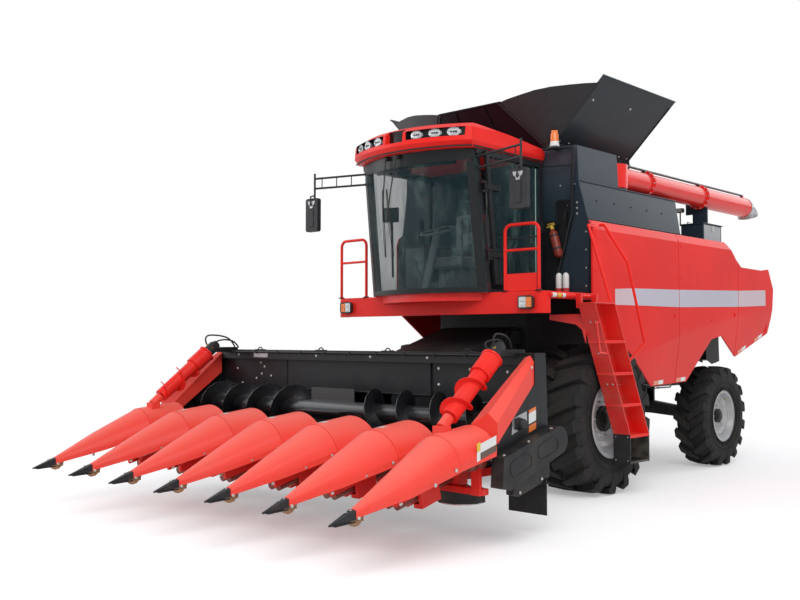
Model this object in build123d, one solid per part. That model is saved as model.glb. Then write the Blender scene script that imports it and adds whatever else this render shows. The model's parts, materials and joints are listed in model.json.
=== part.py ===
from build123d import *
import math
import os

# Combine harvester with a six-row maize header.
# Millimetres. X is the machine's left, -Y is forward, Z is up, ground at Z = 0.
# Lengths along Y are measured from the drive axle; the finished pieces are
# moved by FRAME_SHIFT_Y so that the machine stands centred on its origin.

# ---------------------------------------------------------------- driving sizes
WHEELBASE = 3350.0

FIT_GAP = 0.3            # face to face seat between two pieces
SHEET = 12.0             # folded sheet metal, with its stiffening lips
PIN_R = 22.0             # hinge and cylinder pins
PIN_FIT = 0.08           # radial running fit of a pin or shaft in its bore

# drive wheels
FLANGE_LIP = 24.0
DRIVE_R = 875.0
DRIVE_W = 770.0
DRIVE_X = 1240.0
DRIVE_RIM_R = 430.0
DRIVE_RIM_W = 690.0
DRIVE_LUGS = 17
DRIVE_HUB_R = 150.0

# steered wheels
REAR_R = 708.0
REAR_W = 450.0
REAR_X = 1215.0
REAR_RIM_R = 340.0
REAR_RIM_W = 380.0
REAR_LUGS = 16
REAR_HUB_R = 95.0
KINGPIN_X = 900.0

# lower body and side panels
RAIL_LOW_Z = 1120.0
RAIL_H = 120.0
BODY_HALF_W = 680.0
BODY_TOP_Z = 3000.0
ENGINE_LOW_Z = 2300.0
DECK_SHEET_Z = 3060.0
PANEL_X = 1550.0
PANEL_T = 26.0
PANEL_TOP_Z = 3185.0
PANEL_FRONT_Y = -335.0
HOOD_REAR_Y = 4780.0

# straw chopper under the rear hood
CHOPPER_R = 240.0
CHOPPER_HALF_W = 660.0
CHOPPER_Y = 4260.0
CHOPPER_Z = 1790.0
SPREAD_VANES = 7

# grain tank: a wide lower hopper with a ledge, and a narrower mouth above it
TANK_HALF_W = 1350.0
TANK_FOOT_HALF_W = 1440.0
TANK_FRONT_Y = -330.0
TANK_REAR_Y = 2040.0
TANK_TOP_Z = 4100.0
TANK_LEDGE_Z = 3660.0
TANK_FOOT_Z = 3215.0
TANK_FLOOR_Z = 3120.0
TANK_SLOPE_TOP_Z = 3540.0
TANK_TROUGH_W = 500.0
TANK_SHELF = 350.0
TANK_MOUTH_X = TANK_HALF_W - TANK_SHELF
TANK_MOUTH_REAR_Y = 1480.0
TURRET_BOX_REAR_Y = 560.0
FLAP_T = 8.0
SIDE_FLAP_H = 990.0
SIDE_FLAP_TILT = 45.0    # outward from upright
END_FLAP_H = 660.0
END_FLAP_TILT = 32.0     # outward from upright
END_FLAP_TOP_HALF_W = 490.0
FLAP_HINGE_R = 11.0
EAR_T = 14.0
EAR_GAP = 5.0
EAR_R = 20.0
SIDE_HINGE_UP = 56.0
END_HINGE_UP = 16.0

BEACON_X = 1090.0
BEACON_Y = -410.0
BEACON_Z = 4080.0

# unloading auger, folded back over the ledge
AUGER_X = 1200.0
AUGER_Z = 3845.0
AUGER_R = 145.0
AUGER_PIVOT_Y = 760.0
AUGER_END_Y = 4600.0
AUGER_REST_Y = 3080.0
TURRET_R = 165.0
PIPE_R = 16.0
SPOUT_R = AUGER_R + 6
SPOUT_BEND_R = 200.0
SPOUT_SWEEP = 70.0

# header lift cylinders
LIFT_X = 380.0
LIFT_BASE_Y = -230.0
LIFT_BASE_Z = 660.0
LIFT_EYE_Y = -1600.0
LIFT_EYE_Z = 900.0
LIFT_EYE_T = 60.0
LIFT_BARREL_R = 55.0
LIFT_ROD_R = 30.0
LIFT_BARREL_LEN = 900.0
LIFT_EYE_SLACK = 5.0     # the rod's eye may ride off its pin by this much
LUG_T = 22.0

# cab and platform
DECK_Z = 2327.0
DECK_T = 45.0
TYRE_AIR = 47.0          # between the drive tyre and the ladder
LADDER_GAP = 52.0
LADDER_IN_X = DRIVE_X + DRIVE_W / 2 + TYRE_AIR
DECK_HALF_W = LADDER_IN_X - LADDER_GAP
DECK_FRONT_Y = -1400.0
DECK_REAR_Y = -350.0
FASCIA_H = 240.0
FASCIA_T = 70.0
CAB_HALF_W = 890.0
CAB_TOP_HALF_W = 865.0
CAB_FRONT_Y = -1440.0
CAB_TOP_FRONT_Y = -1630.0
CAB_BULGE = 285.0
CAB_REAR_Y = -420.0
CAB_TOP_Z = 3920.0
ROOF_TOP_Z = 4200.0
GLASS_T = 8.0
PILLAR = 70.0
POD_LOW_Z = 4042.0       # the lamp recesses in the brow
POD_HIGH_Z = 4142.0
POD_DEPTH = 70.0
ROOF_LAMPS = (-725.0, -522.0, -302.0, 302.0, 522.0, 725.0)
DOOR_T = 32.0
DOOR_GAP = 5.0           # air between the cab and its door
DOOR_HINGE_BACK = 85.0   # the hinge line lies this far behind the windscreen
DOOR_HINGE_R = 17.0
DOOR_PIN_R = 8.0
DOOR_HINGE_LOW_Z = 2750.0
DOOR_HINGE_HIGH_Z = 3500.0
DOOR_HINGES = (DOOR_HINGE_LOW_Z, DOOR_HINGE_HIGH_Z)
HOOP_Y = -1380.0
MIRROR_X = 1600.0
MIRROR_Y = -1790.0
MIRROR_ARM_R = 13.0

# feeder house and header
FEEDER_PIVOT_Y = -560.0
FEEDER_PIVOT_Z = 1830.0
FEEDER_HALF_W = 570.0
TRUNNION_R = 40.0
FEEDER_H = 560.0
FEEDER_FRONT_Y = -2470.0
FEEDER_FRONT_Z = 760.0   # underside of the mouth
ROW_PITCH = 762.0
ROWS = 6
TIP_Y = -5124.0
TIP_Z = 430.0
TIP_LEN = 240.0
HEADER_BACK_Y = -2640.0
SNOUT_REAR_Y = HEADER_BACK_Y - 1260
HEADER_TOP_Z = 1680.0
HEADER_FLOOR_Z = 700.0
CROSS_AUGER_Y = -2960.0
CROSS_AUGER_Z = 1060.0
CROSS_AUGER_R = 250.0
CROSS_AUGER_TUBE_R = 100.0
CROSS_AUGER_PITCH = 430.0
CROSS_SHAFT_R = 40.0
END_AUGER_R = 125.0
END_TUBE_R = 76.0
END_SLEEVE_R = 96.0
END_DIVIDER_OUTER = 228.0
END_SHAFT_R = 25.0
END_SHEET_X = 2400.0
FENDER_FRONT_Y = -3415.0
FENDER_LOW_Z = 925.0
FENDER_HIGH_Z = 1400.0
DRIVE_CASE_T = 130.0
DECK_SLOPE = 14.0

# the machine stands centred between the header's tips and the auger's spout
SPOUT_REAR_Y = AUGER_END_Y + FIT_GAP + (SPOUT_BEND_R + SPOUT_R) * math.sin(math.radians(SPOUT_SWEEP))
FRAME_SHIFT_Y = -(TIP_Y + SPOUT_REAR_Y) / 2

# screw flights
FLIGHT_T = 8.0

# rear hitch
HITCH_Y = 3860.0
HITCH_Z = 1160.0
HITCH_BORE_R = 20.0
HITCH_T = 40.0

# ladder
LADDER_DEPTH = 215.0
LADDER_RISE = 360.0
LADDER_LOW_Z = 710.0
LADDER_STEP_W = 430.0
LADDER_TOP_Y = -640.0
LADDER_SHIFT = 176.0     # each lower step lies this far to the rear
LADDER_TOP_Z = LADDER_LOW_Z + 3 * LADDER_RISE + 420
SKIRT_IN_X = 1200.0
SKIRT_LOW_Z = 1910.0
SKIRT_HIGH_Z = DECK_Z - FASCIA_H - FIT_GAP


# ------------------------------------------------------------------ small tools
def box(x0, x1, y0, y1, z0, z1):
    """A box between two corners."""
    return Pos((x0 + x1) / 2, (y0 + y1) / 2, (z0 + z1) / 2) * Box(x1 - x0, y1 - y0, z1 - z0)


def plate_x(points, x0, x1):
    """A flat plate across X, its outline given as (y, z)."""
    return extrude(Plane.YZ.offset(x0) * Polygon(*points, align=None), amount=x1 - x0, dir=(1, 0, 0))


def plate_y(points, y0, y1):
    """A flat plate across Y, its outline given as (x, z)."""
    return extrude(Plane.XZ.offset(-y1) * Polygon(*points, align=None), amount=y1 - y0, dir=(0, -1, 0))


def rod(start, end, radius):
    """A round bar between two points."""
    way = Vector(*end) - Vector(*start)
    return extrude(Plane(origin=start, z_dir=way) * Circle(radius), amount=way.length)


def strut(start, end, width, depth, x_dir=(1, 0, 0)):
    """A rectangular bar between two points; its width lies along x_dir."""
    way = Vector(*end) - Vector(*start)
    return extrude(Plane(origin=start, x_dir=x_dir, z_dir=way) * Rectangle(width, depth), amount=way.length)


def pipe(points, radius, bend):
    """A bent round tube through the points."""
    path = FilletPolyline(*points, radius=bend)
    return sweep(Plane(origin=path @ 0, z_dir=path % 0) * Circle(radius), path=path)


def cyl_x(radius, x0, x1, y, z):
    """A cylinder along X."""
    return extrude(Plane.YZ.offset(x0) * Pos(y, z) * Circle(radius), amount=x1 - x0)


def cyl_y(radius, x, z, y0, y1):
    """A cylinder along Y."""
    return extrude(Plane.XZ.offset(-y1) * Pos(x, z) * Circle(radius), amount=y1 - y0)


def cyl_z(radius, x, y, z0, z1):
    """An upright cylinder."""
    return extrude(Plane.XY.offset(z0) * Pos(x, y) * Circle(radius), amount=z1 - z0)


def bent_rail(points, radius):
    """A round rail with straight runs and a ball at each corner."""
    rail_solid = Part()
    for start, end in zip(points, points[1:]):
        rail_solid += rod(start, end, radius)
    for corner in points[1:-1]:
        rail_solid += Pos(*corner) * Sphere(radius)
    return rail_solid


def flight(start, way, inner_r, outer_r, pitch, turns, hand, steps=16):
    """A screw flight round an axis: ruled from one radial section to the next."""
    way = Vector(*way).normalized()
    side = Vector(0, 0, 1).cross(way).normalized()
    up = way.cross(side)
    levels = []
    for n in range(round(steps * turns) + 1):
        turn = hand * math.tau * n / steps
        out = side * math.cos(turn) + up * math.sin(turn)
        at = Vector(*start) + way * (pitch * n / steps)
        plane = Plane(origin=at, x_dir=out, z_dir=way.cross(out) * hand)
        levels.append(plane * Pos((inner_r + outer_r) / 2, 0) * Rectangle(outer_r - inner_r, FLIGHT_T))
    return loft(levels, ruled=True)


def mirrored(shape):
    """The same piece on the machine's right."""
    return mirror(shape, about=Plane.YZ)


def both(shape):
    """A piece and its mirror image as separate solids."""
    return shape.solids() + mirrored(shape).solids()


NODES = {}


def keep(name, *shapes):
    """Collect the solids of one named piece."""
    solids = []
    for shape in shapes:
        solids += shape.solids() if hasattr(shape, "solids") else list(shape)
    NODES[name] = Compound(children=solids) if len(solids) > 1 else solids[0]


# ----------------------------------------------------------------------- wheels
def tyre(radius, width, rim_r, rim_w, lugs, lug_h):
    """A farm tyre on the X axis: a moulded carcass with two rows of slanted bars."""
    base_r = radius - lug_h
    half = width / 2
    bead = rim_r + FIT_GAP
    wall_h = base_r - bead
    profile = [
        # share of the half width, share of the wall's height
        (0.96, 0.30), (1.0, 0.52), (0.985, 0.76), (0.90, 0.91), (0.55, 0.98), (0.0, 1.0),
    ]
    shoulder = [(half * across, bead + wall_h * up) for across, up in profile]
    section = [(rim_w / 2, bead), (rim_w / 2, bead + FLANGE_LIP + 4)] + shoulder
    section += [(-across, up) for across, up in reversed(section[:-1])]
    carcass = revolve(make_face(Polyline(*section, close=True)), axis=Axis.X)
    pitch = 360.0 / lugs
    run = radius * math.radians(pitch)
    bar = 0.30 * run
    foot = 0.42 * run
    # outline of one bar over the crown, as (across, along)
    shape = [
        (half * -0.03, -bar / 2),
        (half * 0.97, 0.62 * run - foot / 2),
        (half * 0.97, 0.62 * run + foot / 2),
        (half * 0.40, 0.30 * run + bar * 0.62),
        (half * -0.03, bar / 2),
    ]
    keep_ring = revolve(
        make_face(
            Polyline(
                (-half, base_r - 60), (half, base_r - 60), (half * 0.95, radius - 14),
                (half * 0.5, radius), (-half * 0.5, radius), (-half * 0.95, radius - 14), close=True,
            )
        ),
        axis=Axis.X,
    )
    block = extrude(Plane.XY.offset(base_r - 55) * Polygon(*shape, align=None), amount=lug_h + 60)
    block = (block & keep_ring).solids()[0]
    bars = []
    for step in range(lugs):
        turn = step * pitch
        bars.append(Rot(turn, 0, 0) * block)
        bars.append(Rot(turn + pitch / 2, 0, 0) * mirrored(block))
    return carcass.fuse(*bars).solids()[0]


def rim(rim_r, rim_w, dish_x, hub_r):
    """A dished disc wheel on the X axis: barrel, flanges, disc and hub bore."""
    half = rim_w / 2
    wall = 14.0
    section = Polyline(
        (-half - 10, rim_r + FLANGE_LIP), (-half - 10, rim_r - wall), (dish_x - 60, rim_r - wall - 26),
        (dish_x - 46, rim_r * 0.72), (dish_x - 88, rim_r * 0.60), (dish_x - 88, hub_r + PIN_FIT),
        (dish_x - 66, hub_r + PIN_FIT), (dish_x - 66, rim_r * 0.62), (dish_x - 24, rim_r * 0.74),
        (dish_x - 38, rim_r - wall - 26), (half + 10, rim_r - wall), (half + 10, rim_r + FLANGE_LIP),
        (half + FIT_GAP, rim_r + FLANGE_LIP), (half + FIT_GAP, rim_r), (-half - FIT_GAP, rim_r),
        (-half - FIT_GAP, rim_r + FLANGE_LIP), close=True,
    )
    return revolve(make_face(section), axis=Axis.X)


drive_tyre = tyre(DRIVE_R, DRIVE_W, DRIVE_RIM_R, DRIVE_RIM_W, DRIVE_LUGS, 62.0)
drive_rim = rim(DRIVE_RIM_R, DRIVE_RIM_W, DRIVE_RIM_W / 2 - 60, DRIVE_HUB_R)
rear_tyre = tyre(REAR_R, REAR_W, REAR_RIM_R, REAR_RIM_W, REAR_LUGS, 48.0)
rear_rim = rim(REAR_RIM_R, REAR_RIM_W, REAR_RIM_W / 2 - 30, REAR_HUB_R)
for side, name in ((1, "left"), (-1, "right")):
    at = Pos(side * DRIVE_X, 0, DRIVE_R)
    flip = Rot(0, 0, 0) if side > 0 else Rot(0, 0, 180)
    keep("drive_tyre_" + name, at * (drive_tyre if side > 0 else mirrored(drive_tyre)))
    keep("drive_rim_" + name, at * flip * drive_rim)
    at = Pos(side * REAR_X, WHEELBASE, REAR_R)
    keep("rear_tyre_" + name, at * (rear_tyre if side > 0 else mirrored(rear_tyre)))
    keep("rear_rim_" + name, at * flip * rear_rim)

# ------------------------------------------------------------------------ axles
drive_inner_x = DRIVE_X - DRIVE_W / 2
drive_axle = box(-760, 760, -130, 130, DRIVE_R - 60, DRIVE_R + 130)
drive_axle += both(cyl_x(240, 640, drive_inner_x + 60, 0, DRIVE_R))
drive_axle += both(cyl_x(DRIVE_HUB_R, drive_inner_x + 60, DRIVE_X + DRIVE_RIM_W / 2 - 90, 0, DRIVE_R))
drive_axle += both(box(560, 680, -110, 110, DRIVE_R + 100, RAIL_LOW_Z - FIT_GAP))
for x in (LIFT_X, -LIFT_X):
    for near in (-LIFT_EYE_T / 2 - 3 - LUG_T, LIFT_EYE_T / 2 + 3):
        drive_axle += plate_x(
            [(-120, 830), (-120, 940), (LIFT_BASE_Y - 45, LIFT_BASE_Z + 40), (LIFT_BASE_Y - 45, LIFT_BASE_Z - 45),
             (LIFT_BASE_Y + 45, LIFT_BASE_Z - 45)],
            x + near, x + near + LUG_T)
    drive_axle += cyl_x(PIN_R, x - LIFT_EYE_T / 2 - 10, x + LIFT_EYE_T / 2 + 10, LIFT_BASE_Y, LIFT_BASE_Z)
keep("drive_axle", drive_axle)

beam_z = 760.0
rear_axle = plate_y(
    [(-780, beam_z - 95), (-300, beam_z - 60), (300, beam_z - 60), (780, beam_z - 95),
     (780, beam_z + 55), (300, beam_z + 120), (-300, beam_z + 120), (-780, beam_z + 55)],
    WHEELBASE - 80, WHEELBASE + 80,
)
kingpin_fork = box(760, KINGPIN_X + 75, WHEELBASE - 75, WHEELBASE + 75, beam_z + 100, beam_z + 165)
kingpin_fork += box(760, KINGPIN_X + 75, WHEELBASE - 75, WHEELBASE + 75, beam_z - 165, beam_z - 100)
kingpin_fork += box(730, 800, WHEELBASE - 75, WHEELBASE + 75, beam_z - 165, beam_z + 165)
kingpin_fork -= cyl_z(PIN_R + PIN_FIT, KINGPIN_X, WHEELBASE, beam_z - 200, beam_z + 200)
rear_axle += both(kingpin_fork)
rear_axle += extrude(Plane.XZ.offset(-(WHEELBASE + 150)) * Pos(0, beam_z + 90) * Circle(70), amount=300)
keep("rear_axle", rear_axle)

boss_x = KINGPIN_X + 90
knuckle = box(KINGPIN_X - 60, boss_x, WHEELBASE - 60, WHEELBASE + 60, beam_z - 99, beam_z + 99)
knuckle += cyl_z(PIN_R, KINGPIN_X, WHEELBASE, beam_z - 165, beam_z + 165)
knuckle += cyl_x(44, boss_x, REAR_X + 40, WHEELBASE, REAR_R)
knuckle += cyl_x(REAR_HUB_R, REAR_X + 20, REAR_X + REAR_RIM_W / 2 - 60, WHEELBASE, REAR_R)
knuckle += box(KINGPIN_X - 40, KINGPIN_X + 40, WHEELBASE - 300, WHEELBASE - 40, beam_z - 30, beam_z + 10)
for side, name in ((1, "left"), (-1, "right")):
    keep("knuckle_" + name, knuckle if side > 0 else mirrored(knuckle))

# --------------------------------------------------------- chassis and main body
rail = box(560, 680, -440, 3700, RAIL_LOW_Z, RAIL_LOW_Z + RAIL_H)
frame = Part() + both(rail)
frame += box(-680, 680, -440, -340, RAIL_LOW_Z, RAIL_LOW_Z + RAIL_H)
frame += box(-680, 680, WHEELBASE - 140, WHEELBASE + 140, RAIL_LOW_Z, RAIL_LOW_Z + RAIL_H)
# rear axle saddle: the beam's trunnion lies between two hanging plates
for y in (WHEELBASE - 140, WHEELBASE + 100):
    hanger = box(-260, 260, y, y + 40, beam_z + 10, RAIL_LOW_Z + 10)
    frame += hanger
frame -= extrude(Plane.XZ.offset(-(WHEELBASE + 200)) * Pos(0, beam_z + 90) * Circle(70 + PIN_FIT), amount=400)
frame += box(-680, 680, 3560, 3700, RAIL_LOW_Z, RAIL_LOW_Z + RAIL_H)
tongue = box(-70, 70, 3690, HITCH_Y, HITCH_Z - HITCH_T / 2, HITCH_Z + HITCH_T / 2)
tongue += cyl_z(70, 0, HITCH_Y, HITCH_Z - HITCH_T / 2, HITCH_Z + HITCH_T / 2)
frame += tongue - cyl_z(HITCH_BORE_R, 0, HITCH_Y, HITCH_Z - HITCH_T, HITCH_Z + HITCH_T)
keep("chassis_frame", frame)

step_z = DECK_Z - DECK_T - FIT_GAP
rail_top_z = RAIL_LOW_Z + RAIL_H
body_outline = [
    (-420, step_z), (-420, 1420), (-200, rail_top_z + FIT_GAP), (3000, rail_top_z + FIT_GAP), (3300, 1560), (4350, 1680),
    (4350, 2200), (3300, ENGINE_LOW_Z), (1900, ENGINE_LOW_Z), (1900, BODY_TOP_Z), (-330, BODY_TOP_Z),
    (-330, step_z),
]
body = plate_x(body_outline, -BODY_HALF_W, BODY_HALF_W)
inner_x = PANEL_X - PANEL_T - FIT_GAP
# the wall behind the platform closes the gap to the side panels
wall_outline = [
    (BODY_HALF_W - 5, DECK_Z), (inner_x, DECK_Z), (inner_x, PANEL_TOP_Z - 20), (TANK_FOOT_HALF_W, TANK_FOOT_Z - FIT_GAP),
    (BODY_HALF_W + FIT_GAP, TANK_FOOT_Z - FIT_GAP), (BODY_HALF_W + FIT_GAP, BODY_TOP_Z), (BODY_HALF_W - 5, BODY_TOP_Z),
]
body += both(plate_y(wall_outline, TANK_FRONT_Y, TANK_FRONT_Y + SHEET))
# two ears hold the feeder house's trunnions
ear_x = FEEDER_HALF_W + 6
ears = box(ear_x, ear_x + 30, FEEDER_PIVOT_Y - 20, -415, FEEDER_PIVOT_Z - 80, FEEDER_PIVOT_Z + 80)
ears += cyl_x(80, ear_x, ear_x + 30, FEEDER_PIVOT_Y, FEEDER_PIVOT_Z)
ears += cyl_x(TRUNNION_R, FEEDER_HALF_W - 30, ear_x + 30, FEEDER_PIVOT_Y, FEEDER_PIVOT_Z)
body += both(ears)
# the straw chopper's round housing and its spreader with guide vanes close the body's tail
body += cyl_x(CHOPPER_R, -CHOPPER_HALF_W, CHOPPER_HALF_W, CHOPPER_Y, CHOPPER_Z)
spread_y, spread_z = CHOPPER_Y + 60, CHOPPER_Z - CHOPPER_R + 20
spread_rear_y = HOOD_REAR_Y - 30
body += plate_x(
    [(spread_y, spread_z), (spread_rear_y, spread_z - 110), (spread_rear_y, spread_z - 96), (spread_y, spread_z + 14)],
    -CHOPPER_HALF_W, CHOPPER_HALF_W)
for n in range(SPREAD_VANES):
    share = 2 * n / (SPREAD_VANES - 1) - 1
    vane = plate_x(
        [(0, -60), (390, -168), (390, -100), (60, -16), (0, -16)], -4, 4)
    body += Pos(share * (CHOPPER_HALF_W - 60), spread_y, spread_z + 22) * Rot(0, 0, -12 * share) * vane
keep("threshing_body", body)

panel_outline = [
    (PANEL_FRONT_Y, PANEL_TOP_Z), (3250, PANEL_TOP_Z), (3540, 2950), (3710, 2850), (4420, 2840), (4680, 2870),
    (4860, 2570), (4800, 2130), (4720, 1890), (3630, 1550), (3080, 1850), (2760, 1800), (2107, 1240),
    (1120, 1210), (PANEL_FRONT_Y, 2190),
]
panel = plate_x(panel_outline, PANEL_X - PANEL_T, PANEL_X)
keep("side_panel_left", panel)
keep("side_panel_right", mirrored(panel))

deck = plate_x(
    [(1900 + FIT_GAP, DECK_SHEET_Z), (3400, DECK_SHEET_Z), (3520, 2900), (3520, 2880),
     (3390, DECK_SHEET_Z - 25), (1900 + FIT_GAP, DECK_SHEET_Z - 25)],
    -inner_x, inner_x,
)

keep("engine_deck", deck)
keep("engine_block", box(-450, 450, 2000, 3000, ENGINE_LOW_Z + FIT_GAP, 2960))

hood = plate_x(
    [(3530, 2870), (4400, 2800), (4640, 2830), (HOOD_REAR_Y, 2560), (4720, 2140), (4640, 1900),
     (4620, 1905), (4700, 2142), (HOOD_REAR_Y - 22, 2556), (4628, 2808), (4402, 2778), (3530, 2848)],
    -inner_x, inner_x,
)
keep("rear_hood", hood)

# -------------------------------------------------------------------- grain tank
hopper = plate_y(
    [(-TANK_FOOT_HALF_W, TANK_FOOT_Z), (TANK_FOOT_HALF_W, TANK_FOOT_Z), (TANK_HALF_W + 20, TANK_LEDGE_Z),
     (-TANK_HALF_W - 20, TANK_LEDGE_Z)],
    TANK_FRONT_Y, TANK_REAR_Y,
)
hopper += box(-BODY_HALF_W, BODY_HALF_W, TANK_FRONT_Y, 1880, BODY_TOP_Z + FIT_GAP, TANK_FOOT_Z)
upper = box(-TANK_MOUTH_X, TANK_MOUTH_X, TANK_FRONT_Y, TANK_MOUTH_REAR_Y, TANK_LEDGE_Z, TANK_TOP_Z)
trough = box(-TANK_TROUGH_W / 2, TANK_TROUGH_W / 2, 30, 1530, TANK_FLOOR_Z, TANK_FOOT_Z + SHEET + 2)
funnel = loft(
    [
        Plane.XY.offset(TANK_FOOT_Z + SHEET) * Pos(0, 780) * Rectangle(TANK_TROUGH_W + 20, 1520),
        Plane.XY.offset(TANK_SLOPE_TOP_Z) * Pos(0, (TANK_FRONT_Y + TANK_REAR_Y) / 2)
        * Rectangle(2 * (TANK_HALF_W - SHEET), TANK_REAR_Y - TANK_FRONT_Y - 2 * SHEET),
    ],
    ruled=True,
)
lower_room = box(
    -TANK_HALF_W + SHEET, TANK_HALF_W - SHEET, TANK_FRONT_Y + SHEET, TANK_REAR_Y - SHEET,
    TANK_SLOPE_TOP_Z - 1, TANK_LEDGE_Z - SHEET,
)
upper_room = box(
    -TANK_MOUTH_X + SHEET, TANK_MOUTH_X - SHEET, TANK_FRONT_Y + SHEET, TANK_MOUTH_REAR_Y - SHEET,
    TANK_LEDGE_Z - 2 * SHEET, TANK_TOP_Z + SHEET,
)
tank = hopper + upper - trough - funnel - lower_room - upper_room

# the housing at the tank's front corner hides the auger's upright tube
corner = plate_y(
    [(TANK_MOUTH_X, TANK_LEDGE_Z), (TANK_HALF_W + 20, TANK_LEDGE_Z), (TANK_HALF_W, TANK_TOP_Z - 20),
     (TANK_MOUTH_X + 40, TANK_TOP_Z), (TANK_MOUTH_X, TANK_TOP_Z)],
    TANK_FRONT_Y, TURRET_BOX_REAR_Y,
)
tank += both(corner)

# Four tank flaps stand open. Each turns about a pin in ears on the rim.
side_hinge_z = TANK_TOP_Z + SIDE_HINGE_UP
end_hinge_z = TANK_TOP_Z + END_HINGE_UP


def flap(bottom_half, top_half, height):
    """A flap standing in XZ with its hinge pin along X at the origin."""
    outline = [(-bottom_half, 6), (bottom_half, 6), (top_half, height), (-top_half, height)]
    pin_half = bottom_half + EAR_GAP + EAR_T
    return plate_y(outline, -FLAP_T / 2, FLAP_T / 2) + cyl_x(FLAP_HINGE_R, -pin_half, pin_half, 0, 0)


side_half = (TANK_MOUTH_REAR_Y - TANK_FRONT_Y) / 2 - 30
side_mid_y = (TANK_MOUTH_REAR_Y + TANK_FRONT_Y) / 2
side_flap = flap(side_half, side_half, SIDE_FLAP_H)
end_flap = flap(TANK_MOUTH_X - 60, END_FLAP_TOP_HALF_W, END_FLAP_H)
left_flap = Pos(TANK_MOUTH_X - 6, side_mid_y, side_hinge_z) * Rot(0, SIDE_FLAP_TILT, 0) * Rot(0, 0, 90) * side_flap
front_flap = Pos(0, TANK_FRONT_Y + 6, end_hinge_z) * Rot(END_FLAP_TILT, 0, 0) * end_flap
rear_flap = Pos(0, TANK_MOUTH_REAR_Y - 6, end_hinge_z) * Rot(-END_FLAP_TILT, 0, 0) * end_flap
keep("tank_flap_left", left_flap)
keep("tank_flap_right", mirrored(left_flap))
keep("tank_flap_front", front_flap)
keep("tank_flap_rear", rear_flap)

flap_hinge_x = TANK_MOUTH_X - 6
for y in (side_mid_y - side_half - EAR_GAP - EAR_T, side_mid_y + side_half + EAR_GAP):
    ear = box(flap_hinge_x - EAR_R, flap_hinge_x + EAR_R, y, y + EAR_T, TANK_TOP_Z - 30, side_hinge_z)
    ear += cyl_y(EAR_R, flap_hinge_x, side_hinge_z, y, y + EAR_T)
    ear -= cyl_y(FLAP_HINGE_R + PIN_FIT, flap_hinge_x, side_hinge_z, y - 5, y + EAR_T + 5)
    tank += both(ear)
for y in (TANK_FRONT_Y + 6, TANK_MOUTH_REAR_Y - 6):
    x = TANK_MOUTH_X - 60 + EAR_GAP
    ear = box(x, x + EAR_T, y - EAR_R, y + EAR_R, TANK_TOP_Z - 30, end_hinge_z)
    ear += cyl_x(EAR_R, x, x + EAR_T, y, end_hinge_z)
    ear -= cyl_x(FLAP_HINGE_R + PIN_FIT, x - 5, x + EAR_T + 5, y, end_hinge_z)
    tank += both(ear)

# a bracket on the front wall carries the beacon
tank += box(BEACON_X - 60, BEACON_X + 60, BEACON_Y - 60, TANK_FRONT_Y + 2, BEACON_Z - 20, BEACON_Z)

# ------------------------------------------------------------- unloading auger
tank += cyl_z(TURRET_R - 10, AUGER_X, AUGER_PIVOT_Y, TANK_LEDGE_Z - 5, AUGER_Z - AUGER_R - 5 - FIT_GAP)
keep("grain_tank", tank)
elbow = cyl_z(TURRET_R, AUGER_X, AUGER_PIVOT_Y, AUGER_Z - AUGER_R - 5, AUGER_Z + AUGER_R + 5)
tube = extrude(Plane.XZ.offset(-AUGER_END_Y) * Pos(AUGER_X, AUGER_Z) * Circle(AUGER_R), amount=AUGER_END_Y - AUGER_PIVOT_Y)
for y in (1500, AUGER_REST_Y - 14):
    tube += extrude(Plane.XZ.offset(-(y + 28)) * Pos(AUGER_X, AUGER_Z) * Circle(AUGER_R + 32), amount=28)
# a thin pipe runs along the top, on the flange rings and one block
pipe_z = AUGER_Z + AUGER_R + 40
tube += cyl_y(PIPE_R, AUGER_X, pipe_z, AUGER_PIVOT_Y + 100, AUGER_END_Y - 20)
tube += box(AUGER_X - 20, AUGER_X + 20, AUGER_END_Y - 60, AUGER_END_Y - 20, AUGER_Z + AUGER_R - 10, pipe_z)
tube += box(AUGER_X - 20, AUGER_X + 20, AUGER_PIVOT_Y + 110, AUGER_PIVOT_Y + 150, AUGER_Z + AUGER_R - 10, pipe_z)
keep("unloading_auger", elbow + tube)
spout = revolve(
    Plane.XZ.offset(-(AUGER_END_Y + FIT_GAP)) * Pos(AUGER_X, AUGER_Z) * Circle(SPOUT_R),
    axis=Axis((AUGER_X, AUGER_END_Y + FIT_GAP, AUGER_Z - SPOUT_BEND_R), (-1, 0, 0)), revolution_arc=SPOUT_SWEEP,
)
keep("auger_spout", spout)

tool_box = box(1070, 1400, 2800, 3380, DECK_SHEET_Z + FIT_GAP, 3425) + box(1055, 1415, 2785, 3395, 3425, 3440)
tool_box += box(AUGER_X - 110, AUGER_X + 110, AUGER_REST_Y + 40, AUGER_REST_Y + 70, 3440, AUGER_Z - AUGER_R - FIT_GAP)
# the rest's inner horn stands beside the tube; the outer side is open for the swing
horn = box(AUGER_X - 215, AUGER_X - 60, AUGER_REST_Y + 40, AUGER_REST_Y + 70, AUGER_Z - 240, AUGER_Z - 10)
tool_box += horn - cyl_y(AUGER_R + 8, AUGER_X, AUGER_Z, AUGER_REST_Y, AUGER_REST_Y + 100)
keep("auger_rest_box", tool_box)

# ------------------------------------------------------------ platform and cab
def rounded_slab(half, front, rear, corner, z0, z1):
    """A level slab with rounded front corners."""
    outline = Polygon((-half, front), (half, front), (half, rear), (-half, rear), align=None)
    outline = fillet(outline.vertices().sort_by(Axis.Y)[:2], corner)
    return extrude(Plane.XY.offset(z0) * outline, amount=z1 - z0)


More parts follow.
